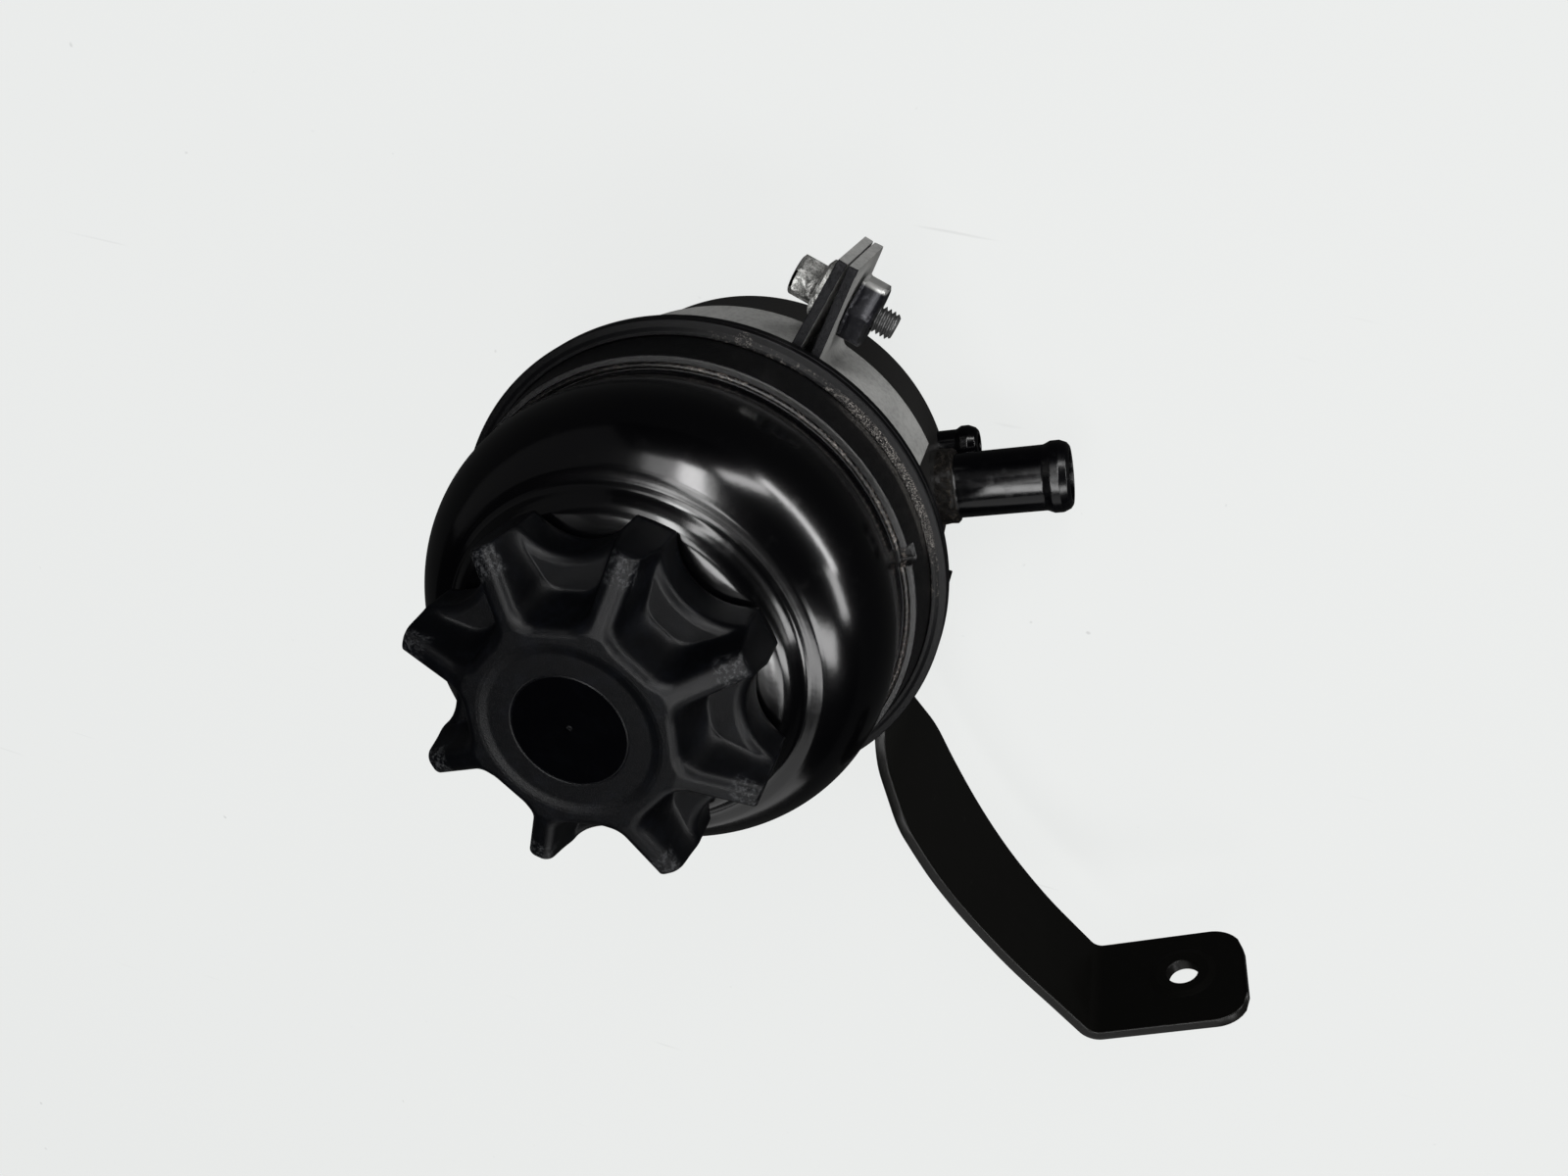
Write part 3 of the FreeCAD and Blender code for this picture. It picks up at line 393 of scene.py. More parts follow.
def dome_material():
    """Glossy black dome, with matt rings at its foot and a rough pale line of flash."""
    black = (0.0004, 0.0004, 0.0006)
    flash_color, scuff_color, dust_color = (0.24, 0.21, 0.19), (0.2, 0.19, 0.175), (0.01, 0.01, 0.01)
    paint = Paint("dome_gloss", black, 0.16)
    r, z, azimuth = paint.radius(), paint.z, paint.azimuth()
    speck = paint.noise(1.6, 6.0, 0.7)
    foot = 1.0 - z.ramp(68.6, 69.6)
    patches = paint.noise(0.12, 3.0).ramp(0.42, 0.62)
    fade = 1.0 - (azimuth - 30.0).math("ABSOLUTE").ramp(30.0, 90.0) * 0.7
    flash = r.band(49.0, 49.9, 0.12) * foot * speck.ramp(0.48, 0.62) * (0.2 + patches * 0.6) * fade
    scuff = z.band(58.0, 60.4, 0.5) * azimuth.band(28.0, 54.0, 10.0)
    scuff = scuff * paint.noise(3.8, 6.0, 0.7).ramp(0.5, 0.62) * 0.75
    dust = (1.0 - z.ramp(67.6, 68.4)) * paint.noise(0.5, 6.0, 0.7).ramp(0.52, 0.74) * 0.3
    color = paint.mix(flash, black, flash_color)
    color = paint.mix(scuff * 0.7, color, scuff_color)
    paint.set("Base Color", paint.mix(dust, color, dust_color))
    drift = paint.noise(0.05, 2.0)
    smears = paint.noise(0.35, 5.0, 0.6, (1, 1, 0.4)).ramp(0.55, 0.8) * 0.06
    paint.set("Roughness", 0.13 + drift * 0.06 + smears + foot * 0.14 + scuff * 0.3)
    paint.bump(paint.noise(0.25, 2.0) * 0.02 + speck * foot * 0.12)
    return paint.material


def cup_material():
    """Matt black cup, with a scuffed speckled band on the rim's bead and a worn spot."""
    rim_black, cup_black = (0.0006, 0.0006, 0.0009), (0.011, 0.0108, 0.0105)
    dust_black, scuff_color = (0.004, 0.004, 0.0045), (0.3, 0.28, 0.26)
    paint = Paint("cup_matt", dust_black, 0.4, spec=0.16)
    r, z, azimuth = paint.radius(), paint.z, paint.azimuth()
    speck = paint.noise(1.1, 8.0, 0.75)
    top = z.ramp(57.6, 58.0)
    below = 1.0 - z.ramp(52.0, 54.0)
    bead = r.band(52.4, 54.3, 0.4) * top
    scuff = bead * azimuth.band(28.0, 54.0, 10.0) * paint.noise(3.8, 6.0, 0.7).ramp(0.5, 0.61) * 0.85
    faint = bead * azimuth.band(14.0, 84.0, 12.0) * speck.ramp(0.53, 0.66) * 0.45
    spot_x, spot_y = 5.3, 53.9
    from_spot = ((paint.x - spot_x) ** 2.0 + (paint.y - spot_y) ** 2.0) ** 0.5
    spot = from_spot.band(0.7, 1.5, 0.4) * top * paint.noise(3.0, 4.0, 0.7).ramp(0.48, 0.64) * 0.35
    scuff = scuff.math("MAXIMUM", faint).math("MAXIMUM", spot)
    color = paint.mix(below, rim_black, cup_black)
    color = paint.mix(scuff, color, scuff_color)
    dusty = top * paint.noise(0.3, 6.0, 0.7).ramp(0.5, 0.75) * 0.5
    color = paint.mix(dusty, color, dust_black)
    collar = paint.along(TAIL_AZIMUTH).ramp(49.4, 49.8) * below
    rust = paint.noise(0.9, 8.0, 0.8).ramp(0.5, 0.66)
    rusty = paint.mix(rust, (0.003, 0.0026, 0.0022), (0.05, 0.042, 0.034))
    paint.set("Base Color", paint.mix(collar, color, rusty))
    paint.set("Roughness", 0.34 + speck * 0.2)
    paint.bump(speck * 0.02 + scuff * 0.08 + collar * rust * 0.25)
    return paint.material


def cap_material():
    """Satin black cap with a fine grain, its middle disc smoother and painted darker as shade."""
    paint = Paint("cap_satin", (0.0013, 0.0014, 0.0018), 0.32, spec=0.18)
    r, z = paint.radius(), paint.z
    disc = (1.0 - r.ramp(10.6, 11.0)) * z.ramp(122.0, 123.0)
    grain = paint.noise(4.0, 6.0, 0.7)
    worn = paint.noise(0.22, 5.0, 0.65).ramp(0.45, 0.75)
    color = paint.mix(worn * 0.6, (0.0005, 0.0006, 0.001), (0.0025, 0.003, 0.0045))
    # painted shade: the middle disc is coloured darker; its smoother finish is its own
    color = paint.mix(disc * 0.8, color, (0.0003, 0.0003, 0.0005))
    chips = paint.noise(1.2, 8.0, 0.8).ramp(0.48, 0.6)
    tips = r.band(30.5, 34.2, 1.5) * z.ramp(118.0, 119.0) * chips
    paint.set("Base Color", paint.mix(tips * 0.8, color, (0.035, 0.036, 0.038)))
    from_gate = (paint.x * paint.x + (paint.y - 0.6) * (paint.y - 0.6)) ** 0.5
    gate = 1.0 - from_gate.ramp(0.3, 0.9)
    paint.set("Roughness", 0.3 + grain * 0.1 - disc * 0.18)
    paint.bump(grain * (0.045 - disc * 0.035) + gate * disc * paint.noise(3.0, 3.0) * 0.12)
    return paint.material


def strap_material():
    """Mottled grey steel, with rough chipped sheared top edges on the band and ears, their dark colour
    painted shade.
    """
    paint = Paint("strap_steel", (0.16, 0.16, 0.155), 0.5, metal=0.55, spec=0.25)
    r, z = paint.radius(), paint.z
    speck = paint.noise(0.9, 7.0, 0.7)
    cloud = paint.noise(0.11, 6.0, 0.7, (1, 1, 0.5)).ramp(0.35, 0.7)
    ear = r.ramp(53.5, 55.0)
    pits = speck.ramp(0.42, 0.62)
    color = paint.mix(pits * 0.45, (0.36, 0.36, 0.35), (0.17, 0.17, 0.165))
    color = paint.mix(cloud * 0.5, color, (0.5, 0.5, 0.485))
    # painted shade: the sheared top edges are coloured near black and less metallic; their roughness
    # and chips are the cut's own
    sheared_and_shaded = (z.ramp(52.75, 52.95) + r.ramp(72.9, 73.2) * z.ramp(51.6, 52.0)).math("MINIMUM", 1.0)
    chips = paint.noise(1.7, 8.0, 0.8).ramp(0.52, 0.66)
    dark = paint.mix(chips, (0.002, 0.002, 0.003), (0.03, 0.03, 0.033))
    paint.set("Base Color", paint.mix(sheared_and_shaded, color, dark))
    paint.set("Metallic", 0.55 - sheared_and_shaded * 0.5)
    paint.set("Roughness", 0.42 + speck * 0.25 + sheared_and_shaded * 0.12)
    paint.bump(speck * (0.02 + ear * 0.05) + sheared_and_shaded * chips * 0.2)
    return paint.material


def bolt_axes(paint):
    """Distances along the clamp's bolt, towards its head, and outwards from its axis."""
    return paint.along(CLAMP_AZIMUTH + 90), paint.along(CLAMP_AZIMUTH) - BOLT_RADIUS


def zinc_material():
    """Plated steel, with blotches of white corrosion on the head and washer."""
    paint = Paint("bolt_zinc", (0.3, 0.3, 0.29), 0.35, metal=0.8)
    along, outward = bolt_axes(paint)
    head = along.ramp(1.0, 2.0)
    lower = 1.0 - outward.ramp(0.5, 2.2)
    cloud = paint.noise(0.5, 7.0, 0.75, distortion=0.8).ramp(0.44, 0.56)
    blotch = cloud * head * (0.25 + lower * 0.75)
    stain = paint.noise(0.9, 6.0, 0.7, distortion=1.5).band(0.49, 0.52, 0.02) * head * 0.8
    color = paint.mix(blotch, (0.2, 0.2, 0.19), (0.7, 0.7, 0.68))
    color = paint.mix(stain, color, (0.02, 0.02, 0.02))
    thread = 1.0 - along.ramp(-6.5, -6.0)
    color = paint.mix(thread, color, (0.1, 0.1, 0.1))
    paint.set("Base Color", color)
    paint.set("Metallic", 0.75 - blotch * 0.65)
    paint.set("Roughness", 0.4 + blotch * 0.3 - thread * 0.08)
    paint.bump(paint.noise(1.6, 6.0, 0.7) * (0.04 - thread * 0.035) + blotch * 0.05)
    return paint.material


def nut_material():
    """Dark plated nut, with a pale painted highlight on the side that faces outwards."""
    paint = Paint("nut_dark", (0.05, 0.05, 0.052), 0.4, metal=0.5)
    outward = bolt_axes(paint)[1]
    bloom = paint.noise(0.8, 7.0, 0.75).ramp(0.5, 0.68) * 0.35
    # painted highlight: the flat that faces outwards is coloured pale
    pale = outward.ramp(5.6, 6.2) * 0.9
    color = paint.mix(bloom, (0.012, 0.012, 0.015), (0.08, 0.08, 0.09))
    paint.set("Base Color", paint.mix(pale, color, (0.38, 0.38, 0.37)))
    paint.set("Roughness", 0.34 + bloom * 0.4)
    paint.bump(paint.noise(1.8, 6.0, 0.7) * 0.03)
    return paint.material


def bracket_material():
    """Satin black paint on sheet steel, with small scuffs down to primer."""
    paint = Paint("bracket_black", (0.002, 0.002, 0.0022), 0.38, spec=0.2)
    scuff = paint.noise(0.5, 8.0, 0.7, (1, 1, 0.35)).ramp(0.66, 0.78)
    paint.set("Base Color", paint.mix(scuff, (0.0024, 0.0023, 0.002), (0.014, 0.014, 0.013)))
    paint.set("Roughness", 0.27 + paint.noise(0.2, 3.0) * 0.12)
    paint.bump(paint.noise(0.9, 5.0) * 0.015)
    return paint.material


def nozzle_material():
    """Glossy black hose tail, with rubbed lengths and a brown welded collar."""
    black, brown = (0.0005, 0.0005, 0.0008), (0.02, 0.017, 0.014)
    paint = Paint("nozzle_gloss", black, 0.22, spec=0.34)
    collar = (1.0 - paint.radius().ramp(53.6, 54.4)) * paint.z.ramp(10.0, 10.5)
    speck = paint.noise(0.8, 7.0, 0.7)
    paint.set("Base Color", paint.mix(collar * speck.ramp(0.45, 0.62), black, brown))
    rubbed = paint.noise(0.35, 6.0, 0.7).ramp(0.5, 0.7)
    end = paint.along(TAIL_AZIMUTH).ramp(73.0, 74.5)
    paint.set("Roughness", 0.15 + rubbed * 0.12 + collar * 0.35 + end * 0.08)
    paint.bump(speck * (0.008 + collar * 0.15))
    return paint.material


def plain(name, color, rough, metal=0.0):
    """One even finish with a fine grain, for small and inner pieces."""
    paint = Paint(name, color, rough, metal)
    paint.bump(paint.noise(1.5, 4.0) * 0.01)
    return paint.material


# shells

def dome_profile():
    """Skirt ring with a fine groove and a ridge, bulge on an arc of 20.9 mm, step and neck."""
    skirt = rounded([
        (45.9, 60.5), (45.9, 58.1), (52.4, 58.1, 0.15), (52.75, 58.6, 0.2), (51.45, 67.9, 0.35),
        (51.2, 68.2, 0.15), (50.1, 68.3, 0.1), (49.95, 67.9), (49.75, 68.55, 0.1),
        (49.4, 68.85, 0.2), (49.05, 68.6, 0.1), (48.7, 67.9, 0.1), (48.35, 68.0, 0.1),
    ], 0.7)
    rise = np.linspace(0, 1, 24)[1:]
    wall = np.stack([48.35 + 0.95 * np.sin(rise * math.pi / 2), 68.4 + 12.3 * rise], -1)
    arc_radius, arc_centre = 20.9, (28.4, 80.7)
    turn = np.radians(np.linspace(0, 56.3, 48))[1:]
    bulge = np.stack([arc_centre[0] + arc_radius * np.cos(turn),
                      arc_centre[1] + arc_radius * np.sin(turn)], -1)
    step = catmull([bulge[-1], (39.2, 98.52), (38.4, 98.78), (37.6, 98.99), (36.9, 99.2),
                    (36.1, 99.65), (35.0, 100.95), (33.8, 102.2), (32.4, 102.95),
                    (30.2, 103.35), (28.2, 103.6)], 10)[1:]
    neck = rounded([(28.2, 103.6), (26.7, 104.0, 0.8), (26.6, 111.0, 0.4), (24.0, 111.2)])[1:]
    return np.vstack([skirt, wall, bulge, step, neck])


def dome_notch(r, z, t):
    """Presses a slot about 3.6 mm wide into the skirt ring: z falls to the slot's floor."""
    ring_radius, half_width, edge = 50.0, 1.9, 0.25
    side = (t - math.radians(NOTCH_AZIMUTH)) * ring_radius
    inside = np.clip((half_width - np.abs(side)) / edge, 0, 1)
    ring = (r > 48.6) & (z > NOTCH_FLOOR) & (z < 69.5)
    return r, np.where(ring, z - inside * (z - NOTCH_FLOOR), z)


def make_dome():
    """Upper shell as one turned skin, with finer angles at the notch."""
    notch = math.radians(NOTCH_AZIMUTH) + np.linspace(-0.045, 0.045, 21)
    mesh = revolve("dome", dome_profile(), 330, shape=dome_notch, fine=notch)
    add("dome", [mesh], dome_material(), "reservoir", ["upper_shell"])


def cup_profile():
    """Flat base, fillet, drafted wall, flange 4.3 mm thick with a fine groove, and its low bead."""
    return rounded([
        (0.5, 1.0), (38.0, 1.0, 0.3), (39.0, 0.0, 0.3), (48.8, 0.0, 4.4), (49.3, 53.4, 0.1),
        (49.6, 53.7, 0.1), (56.0, 53.7, 0.5), (56.0, 55.9), (55.75, 56.1), (56.0, 56.3),
        (56.0, RIM_TOP, 0.35), (54.5, 58.15, 0.3), (53.7, 58.8, 0.4), (52.9, 58.8, 0.3),
        (52.6, RIM_TOP, 0.1), (45.8, RIM_TOP), (45.8, 61.8),
    ], 1.2)


def along_nozzle(height, offset=0.0):
    """Lays a turned piece along the hose tails' direction, at a height and a side offset."""
    out, side = heading(TAIL_AZIMUTH), heading(TAIL_AZIMUTH + 90)

    def place(points):
        """Turns x down, y to the side and z outwards."""
        x, y, z = points[..., 0], points[..., 1], points[..., 2]
        spot = out * z[..., None] + side * (y + offset)[..., None]
        spot[..., 2] += height - x
        return spot

    return place


def rough_collar(r, z, t):
    """Waves the welded collar's outside by a few tenths of a millimetre."""
    waves = 0.12 * np.sin(5 * t + 1.0) + 0.1 * np.sin(11 * t + z) + 0.08 * np.sin(17 * t - 2 * z)
    return r + waves * (r > 8.0), z


def make_cup():
    """Lower shell as one turned skin, with the rough collar of the suction tail."""
    cup = revolve("cup_body", cup_profile(), 360)
    collar_profile = rounded([
        (8.7, 46.5), (8.8, 50.0, 0.2), (8.8, 52.9, 0.6), (8.2, 53.6, 0.3), (7.55, 53.6),
    ], 0.5)
    collar = revolve("cup_collar", collar_profile, 96, along_nozzle(SUCTION_HEIGHT), rough_collar)
    add("cup", [cup, collar], cup_material(), "reservoir", ["lower_shell"])


def make_nozzles():
    """Two hose tails turned about their own axes, each with a bead and a rounded end."""
    gloss = nozzle_material()
    suction = revolve("suction", rounded([
        (5.8, TAIL_ROOT), (7.6, TAIL_ROOT, 0.2), (7.6, 73.8, 1.0), (8.3, 75.4, 0.8),
        (8.3, 77.4, 0.6), (7.6, 79.0, 0.6), (6.8, 79.6, 0.4), (5.8, 79.6, 0.2), (5.8, 46.0),
    ]), 128, along_nozzle(SUCTION_HEIGHT))
    add("suction_tail", [suction], gloss, "reservoir", ["suction_nozzle"])
    back = revolve("return", rounded([
        (2.4, TAIL_ROOT), (4.1, TAIL_ROOT, 0.2), (4.1, 52.4, 0.6), (4.8, 53.6, 0.5),
        (4.8, 55.4, 0.5), (4.1, 57.0, 0.4), (3.4, 57.6, 0.3), (2.4, 57.6, 0.2), (2.4, 46.0),
    ]), 96, along_nozzle(RETURN_HEIGHT, RETURN_OFFSET))
    add("return_tail", [back], gloss, "reservoir", ["return_nozzle"])


# cap

def smooth_max(a, b, soft):
    """The larger of two heights, with the corner between them filled over a width soft."""
    h = np.maximum(soft - np.abs(a - b), 0.0) / soft
    return np.maximum(a, b) + h * h * soft * 0.25


def cap_height(r, t):
    """Height of the star cap's top at a radius and an angle from the nearest rib.

    The top falls outwards from 123.9 mm along the ribs. The hub's straight sides lie 20.3 mm
    from the axis and a rib's sides 2.55 mm from its middle. There a shoulder of 2 mm turns
    down into a wall that drops 6 mm for each millimetre, to the pocket's floor at 113.4 mm.
    The floor's scalloped lip is rounded too.
    """
    hub_side, rib_side, shoulder, wall_slope, lip_radius = 20.3, 2.55, 2.0, 6.0, 1.9
    across = np.abs(r * np.sin(t))
    away = math.pi / LOBES - np.abs(t)
    hub, rib = r * np.cos(away) - hub_side, across - rib_side
    inside = shoulder - smooth_max(-hub, -rib, 3.0)
    turn_end = 1.972
    turn = np.clip(inside, 0, turn_end)
    top = CAP_TOP - 0.29 * np.maximum(r - 20.5, 0.0)
    bend = np.sqrt(shoulder ** 2 - turn ** 2)
    raised = top - shoulder + bend - wall_slope * np.maximum(inside - turn_end, 0.0)
    edge = np.hypot(r * np.cos(away) - SCALLOP_CENTRE, r * np.sin(away)) - SCALLOP_RADIUS
    inward = np.clip(lip_radius - edge, 0, lip_radius)
    pocket = POCKET_FLOOR - lip_radius + np.sqrt(lip_radius ** 2 - inward ** 2)
    return np.minimum(smooth_max(raised, pocket, 4.5), CAP_TOP - 0.02)


def cap_edge(t):
    """Radius of the cap's outline: a circle of 34.9 mm bitten by eight scallops of 12 mm."""
    circle, beyond = 34.9, 99.0
    away = math.pi / LOBES - np.abs(t)
    beside = SCALLOP_CENTRE * np.sin(away)
    bite = SCALLOP_CENTRE * np.cos(away) - np.sqrt(np.maximum(SCALLOP_RADIUS ** 2 - beside ** 2, 0.0))
    bite = np.where(np.abs(beside) < SCALLOP_RADIUS, bite, beyond)
    return -smooth_max(-np.full_like(t, circle), -bite, 0.8)


def make_cap():
    """Dished face, hub with ribs and pockets, outer wall and the hollow below, as one skin."""
    half = np.concatenate([np.linspace(0, 0.12, 7), np.linspace(0.12, 0.6, 35)[1:],
                           np.linspace(0.6, 1.0, 11)[1:]]) * math.pi / LOBES
    lobe = np.concatenate([-half[:0:-1], half])[:-1]
    local = np.tile(lobe, LOBES)
    lobe_turns = np.repeat(np.arange(LOBES), len(lobe)) * TAU / LOBES
    theta = local + math.radians(LOBE_AZIMUTH) + lobe_turns
    edge = cap_edge(local)
    share = np.linspace(0, 1, 64)[:, None]
    face_radius, edge_round, lip_drop = 17.4, 0.45, 1.2
    radius = face_radius + (edge - edge_round - face_radius) * (1 - (1 - share) ** 1.25)
    height = cap_height(radius, local[None, :])
    crown = [(radius, height)]
    lip = height[-1]
    for inset, drop in ((0.3, 0.18), (0.12, 0.5), (0.03, 0.8), (0.0, lip_drop)):
        crown.append(((edge - inset)[None, :], (lip - drop)[None, :]))
    for k in np.linspace(0, 1, 9)[1:]:
        wall_height = lip - lip_drop + (CAP_FOOT - lip + lip_drop) * k
        crown.append(((edge - 0.25 * k)[None, :], wall_height[None, :]))
    for r, z in ((26.9, 104.8), (26.9, 112.9), (14.7, 113.0), (14.7, 120.0), (0.5, 120.5)):
        crown.append((np.full((1, len(local)), r), np.full((1, len(local)), z)))
    face = rounded([
        (0.02, 123.45), (10.9, 123.45, 0.1), (11.0, 123.25), (11.25, 123.45, 0.1),
        (15.4, 123.5, 3.0), (16.9, 123.83, 2.0), (17.3, 123.86),
    ], 0.8)
    rows_r = np.concatenate([np.repeat(face[:, :1], len(local), 1)] + [r for r, _ in crown])
    rows_z = np.concatenate([np.repeat(face[:, 1:], len(local), 1)] + [z for _, z in crown])
    points = np.stack([rows_r * np.cos(theta), rows_r * np.sin(theta), rows_z], -1)
    mesh = grid_mesh("cap_star", points)
    add("cap_star", [mesh], cap_material(), "cap", ["cap"])


# sheet metal

def path_points(start, azimuth, moves, spacing):
    """Points and headings along a path of lines and arcs; a positive turn is to the left."""
    points, headings = [np.array(start, float)], [azimuth]
    for move in moves:
        here, a = points[-1], math.radians(headings[-1])
        if move[0] == "line":
            steps = max(2, int(move[1] / spacing))
            for k in range(1, steps + 1):
                points.append(here + np.array([math.cos(a), math.sin(a)]) * move[1] * k / steps)
                headings.append(headings[-1])
        else:
            radius, turn = move[1], math.radians(move[2])
            sign = 1.0 if turn > 0 else -1.0
            centre = here + np.array([-math.sin(a), math.cos(a)]) * sign * radius
            steps = max(8, int(abs(turn) * radius / spacing))
            begin = headings[-1]
            for k in range(1, steps + 1):
                b = turn * k / steps
                c, s = math.cos(b), math.sin(b)
                offset = here - centre
                points.append(centre + np.array([offset[0] * c - offset[1] * s,
                                                 offset[0] * s + offset[1] * c]))
                headings.append(begin + move[2] * k / steps)
    return np.array(points), np.radians(np.array(headings))


def strip_section(thickness, bevel):
    """Rounded rectangle of a sheet's cut, as arrays of depth, share of height and rise.

    A point lies at the depth, and at low + share * (high - low) + rise. The two long sides
    get points between their ends.
    """
    near, far = bevel, thickness - bevel
    corners = []
    for k, (centre, share, inset) in enumerate(((far, 1, -bevel), (near, 1, -bevel),
                                                (near, 0, bevel), (far, 0, bevel))):
        a = np.linspace(0, math.pi / 2, 5) + k * math.pi / 2
        corners.append(np.stack([centre + bevel * np.cos(a), share + 0 * a,
                                 inset + bevel * np.sin(a)], -1))
    steps = np.array([0.02, 0.25, 0.5, 0.75, 0.98])[:, None]
    inner = corners[1][-1] + (corners[2][0] - corners[1][-1]) * steps
    outer = corners[3][-1] + (corners[0][0] - corners[3][-1]) * steps
    return np.vstack([*corners[:2], inner, *corners[2:], outer]).T


def strip_mesh(name, points, headings, thickness, low, high, bevel=0.3):
    """Sheet strip: a rounded rectangle section carried along the path.

    At each path point the section spans the thickness to the right of the path and the
    heights low to high, and its four corners are rounded by the bevel. Its ends are flat.
    """
    depth, share, rise = strip_section(thickness, bevel)
    x = points[:, :1] + np.sin(headings)[:, None] * depth
    y = points[:, 1:] - np.cos(headings)[:, None] * depth
    z = low[:, None] + (high - low)[:, None] * share + rise
    count, around = x.shape
    ends = [list(range(around))[::-1], list(range((count - 1) * around, count * around))]
    rows = np.stack([x, y, z], -1).reshape(-1, 3)
    return turned_outward(make_mesh(name, rows, grid_faces(count, around) + ends, flat=2))


def rounded_tip(distance, radius):
    """How far a strip's corners are cut at a distance past the start of their rounding."""
    return radius - np.sqrt(np.maximum(radius ** 2 - np.clip(distance, 0, radius) ** 2, 0.02))


def make_strap():
    """Band round the cup, its two ends bent outwards as ears that nearly meet.

    The strip's inner side runs along an ear, a bend, the round band, a bend and an ear. Above
    the hose tails its lower edge rises into a relief with round corners.
    """
    band_low, band_high, ear_corner, bend_radius = 25.6, 53.2, 1.3, 4.0
    relief_top, relief_half_width, relief_corner = 46.0, 12.5, 3.0
    lean = math.radians(EAR_LEAN)
    offset = (EAR_GAP + EAR_REACH * math.tan(lean)) * math.cos(lean) + bend_radius
    bend = math.degrees(math.asin(offset / (STRAP_RADIUS + bend_radius)))
    bend_foot = math.sqrt((STRAP_RADIUS + bend_radius) ** 2 - offset ** 2)
    ear = EAR_REACH * math.cos(lean) - EAR_GAP * math.sin(lean) - bend_foot
    moves = [("line", ear), ("arc", bend_radius, -(90 - bend)),
             ("arc", STRAP_RADIUS, 360 - 2 * (bend - EAR_LEAN)),
             ("arc", bend_radius, -(90 - bend)), ("line", ear)]
    start = heading(CLAMP_AZIMUTH)[:2] * EAR_REACH + heading(CLAMP_AZIMUTH + 90)[:2] * EAR_GAP
    points, headings = path_points(start, CLAMP_AZIMUTH + 180 - EAR_LEAN, moves, 0.6)
    r = np.hypot(points[:, 0], points[:, 1])
    from_tails = np.degrees(np.arctan2(points[:, 1], points[:, 0])) - TAIL_AZIMUTH
    side = np.abs(np.sin(np.radians(from_tails)) * STRAP_RADIUS)
    inward = np.clip(side - (relief_half_width - relief_corner), 0, relief_corner)
    relief = relief_top - relief_corner + np.sqrt(relief_corner ** 2 - inward ** 2)
    front = (np.abs(from_tails) < 60) & (r < 50) & (side < relief_half_width)
    low = np.where(front, relief, band_low)
    cut = rounded_tip(r - (EAR_REACH - ear_corner), ear_corner)
    mesh = strip_mesh("strap", points, headings, STRAP_THICKNESS, low + cut, band_high - cut)
    add("strap_band", [mesh], strap_material(), "reservoir", ["clamp_strap"])


def arm_heights(u):
    """Lower and upper edge of the arm against the distance along its chord."""
    low = np.interp(u, (20, 57, 76, 92, 115, 136, 175), (26.4, 24.4, 17.6, 19.0, 22.0, 24.0, 25.5))
    high = np.interp(u, (20, 59, 63, 76, 92, 115, 136, 175),
                     (52.6, 52.6, 55.6, 62.0, 60.7, 57.7, 56.0, 55.2))
    return low, high


def make_arm():
    """Arm from the band to the tab, with the bolt hole and its low pressed ring."""
    root, root_azimuth, tab_corner = 53.9, -1, 8.0
    moves = [("arc", root, -22.0), ("arc", 20.0, 60.0), ("line", 17.5), ("arc", 170.0, 18.5),
             ("line", 12.0), ("arc", 3.0, 66.5), ("line", TAB_LENGTH)]
    points, headings = path_points(heading(root_azimuth)[:2] * root, root_azimuth - 90.0, moves, 1.0)
    low, high = arm_heights(points @ heading(-43)[:2])
    kernel = np.ones(7) / 7
    low = np.convolve(np.pad(low, 3, "edge"), kernel, "valid")
    high = np.convolve(np.pad(high, 3, "edge"), kernel, "valid")
    length = np.r_[0, np.cumsum(np.hypot(*np.diff(points, axis=0).T))]
    cut = rounded_tip(length - (length[-1] - tab_corner), tab_corner)
    mesh = strip_mesh("arm", points, headings, ARM_THICKNESS, low + cut, high - cut)
    black = bracket_material()
    piece = add("bracket_sheet", [mesh], black, "reservoir", ["bracket_arm"])
    along, out = heading(TAB_AZIMUTH), heading(TAB_AZIMUTH + 90)
    bend_end = points[-1] - along[:2] * TAB_LENGTH
    centre = np.array([*(bend_end + along[:2] * TAB_HOLE_DISTANCE), TAB_HOLE_HEIGHT])
    cut_round(piece, centre, out, TAB_HOLE_RADIUS)
    profile = rounded([
        (3.95, -0.2), (3.95, 0.35, 0.2), (6.6, 0.5, 0.4), (8.4, 0.0, 0.5), (8.5, -0.3),
    ], 0.4)
    ring = revolve("ring", profile, 64, laid_out(centre, along, UP, out))
    add("bracket_ring", [ring], black, "reservoir", [])


def cut_round(piece, centre, axis, radius):
    """Bores a round hole through a piece."""
    turned_outward(piece.data)
    reach = 8
    t = np.linspace(0, TAU, 64, endpoint=False)
    side = np.cross(axis, UP)
    rim = centre + radius * (np.cos(t)[:, None] * side + np.sin(t)[:, None] * UP)
    n = len(t)
    vertices = np.vstack([rim - axis * reach, rim + axis * reach])
    faces = [[i, (i + 1) % n, n + (i + 1) % n, n + i] for i in range(n)]
    faces += [list(range(n))[::-1], list(range(n, 2 * n))]
    mesh = make_mesh("cutter", vertices, faces, flat=len(faces))
    cutter = bpy.data.objects.new("cutter", turned_outward(mesh))
    bpy.context.scene.collection.objects.link(cutter)
    modifier = piece.modifiers.new("bore", "BOOLEAN")
    modifier.operation = "DIFFERENCE"
    modifier.object = cutter
    modifier.solver = "EXACT"
    bpy.context.view_layer.update()
    bored = piece.evaluated_get(bpy.context.evaluated_depsgraph_get())
    baked = bpy.data.meshes.new_from_object(bored)
    piece.modifiers.clear()
    piece.data = baked
    bpy.data.objects.remove(cutter)


# fasteners

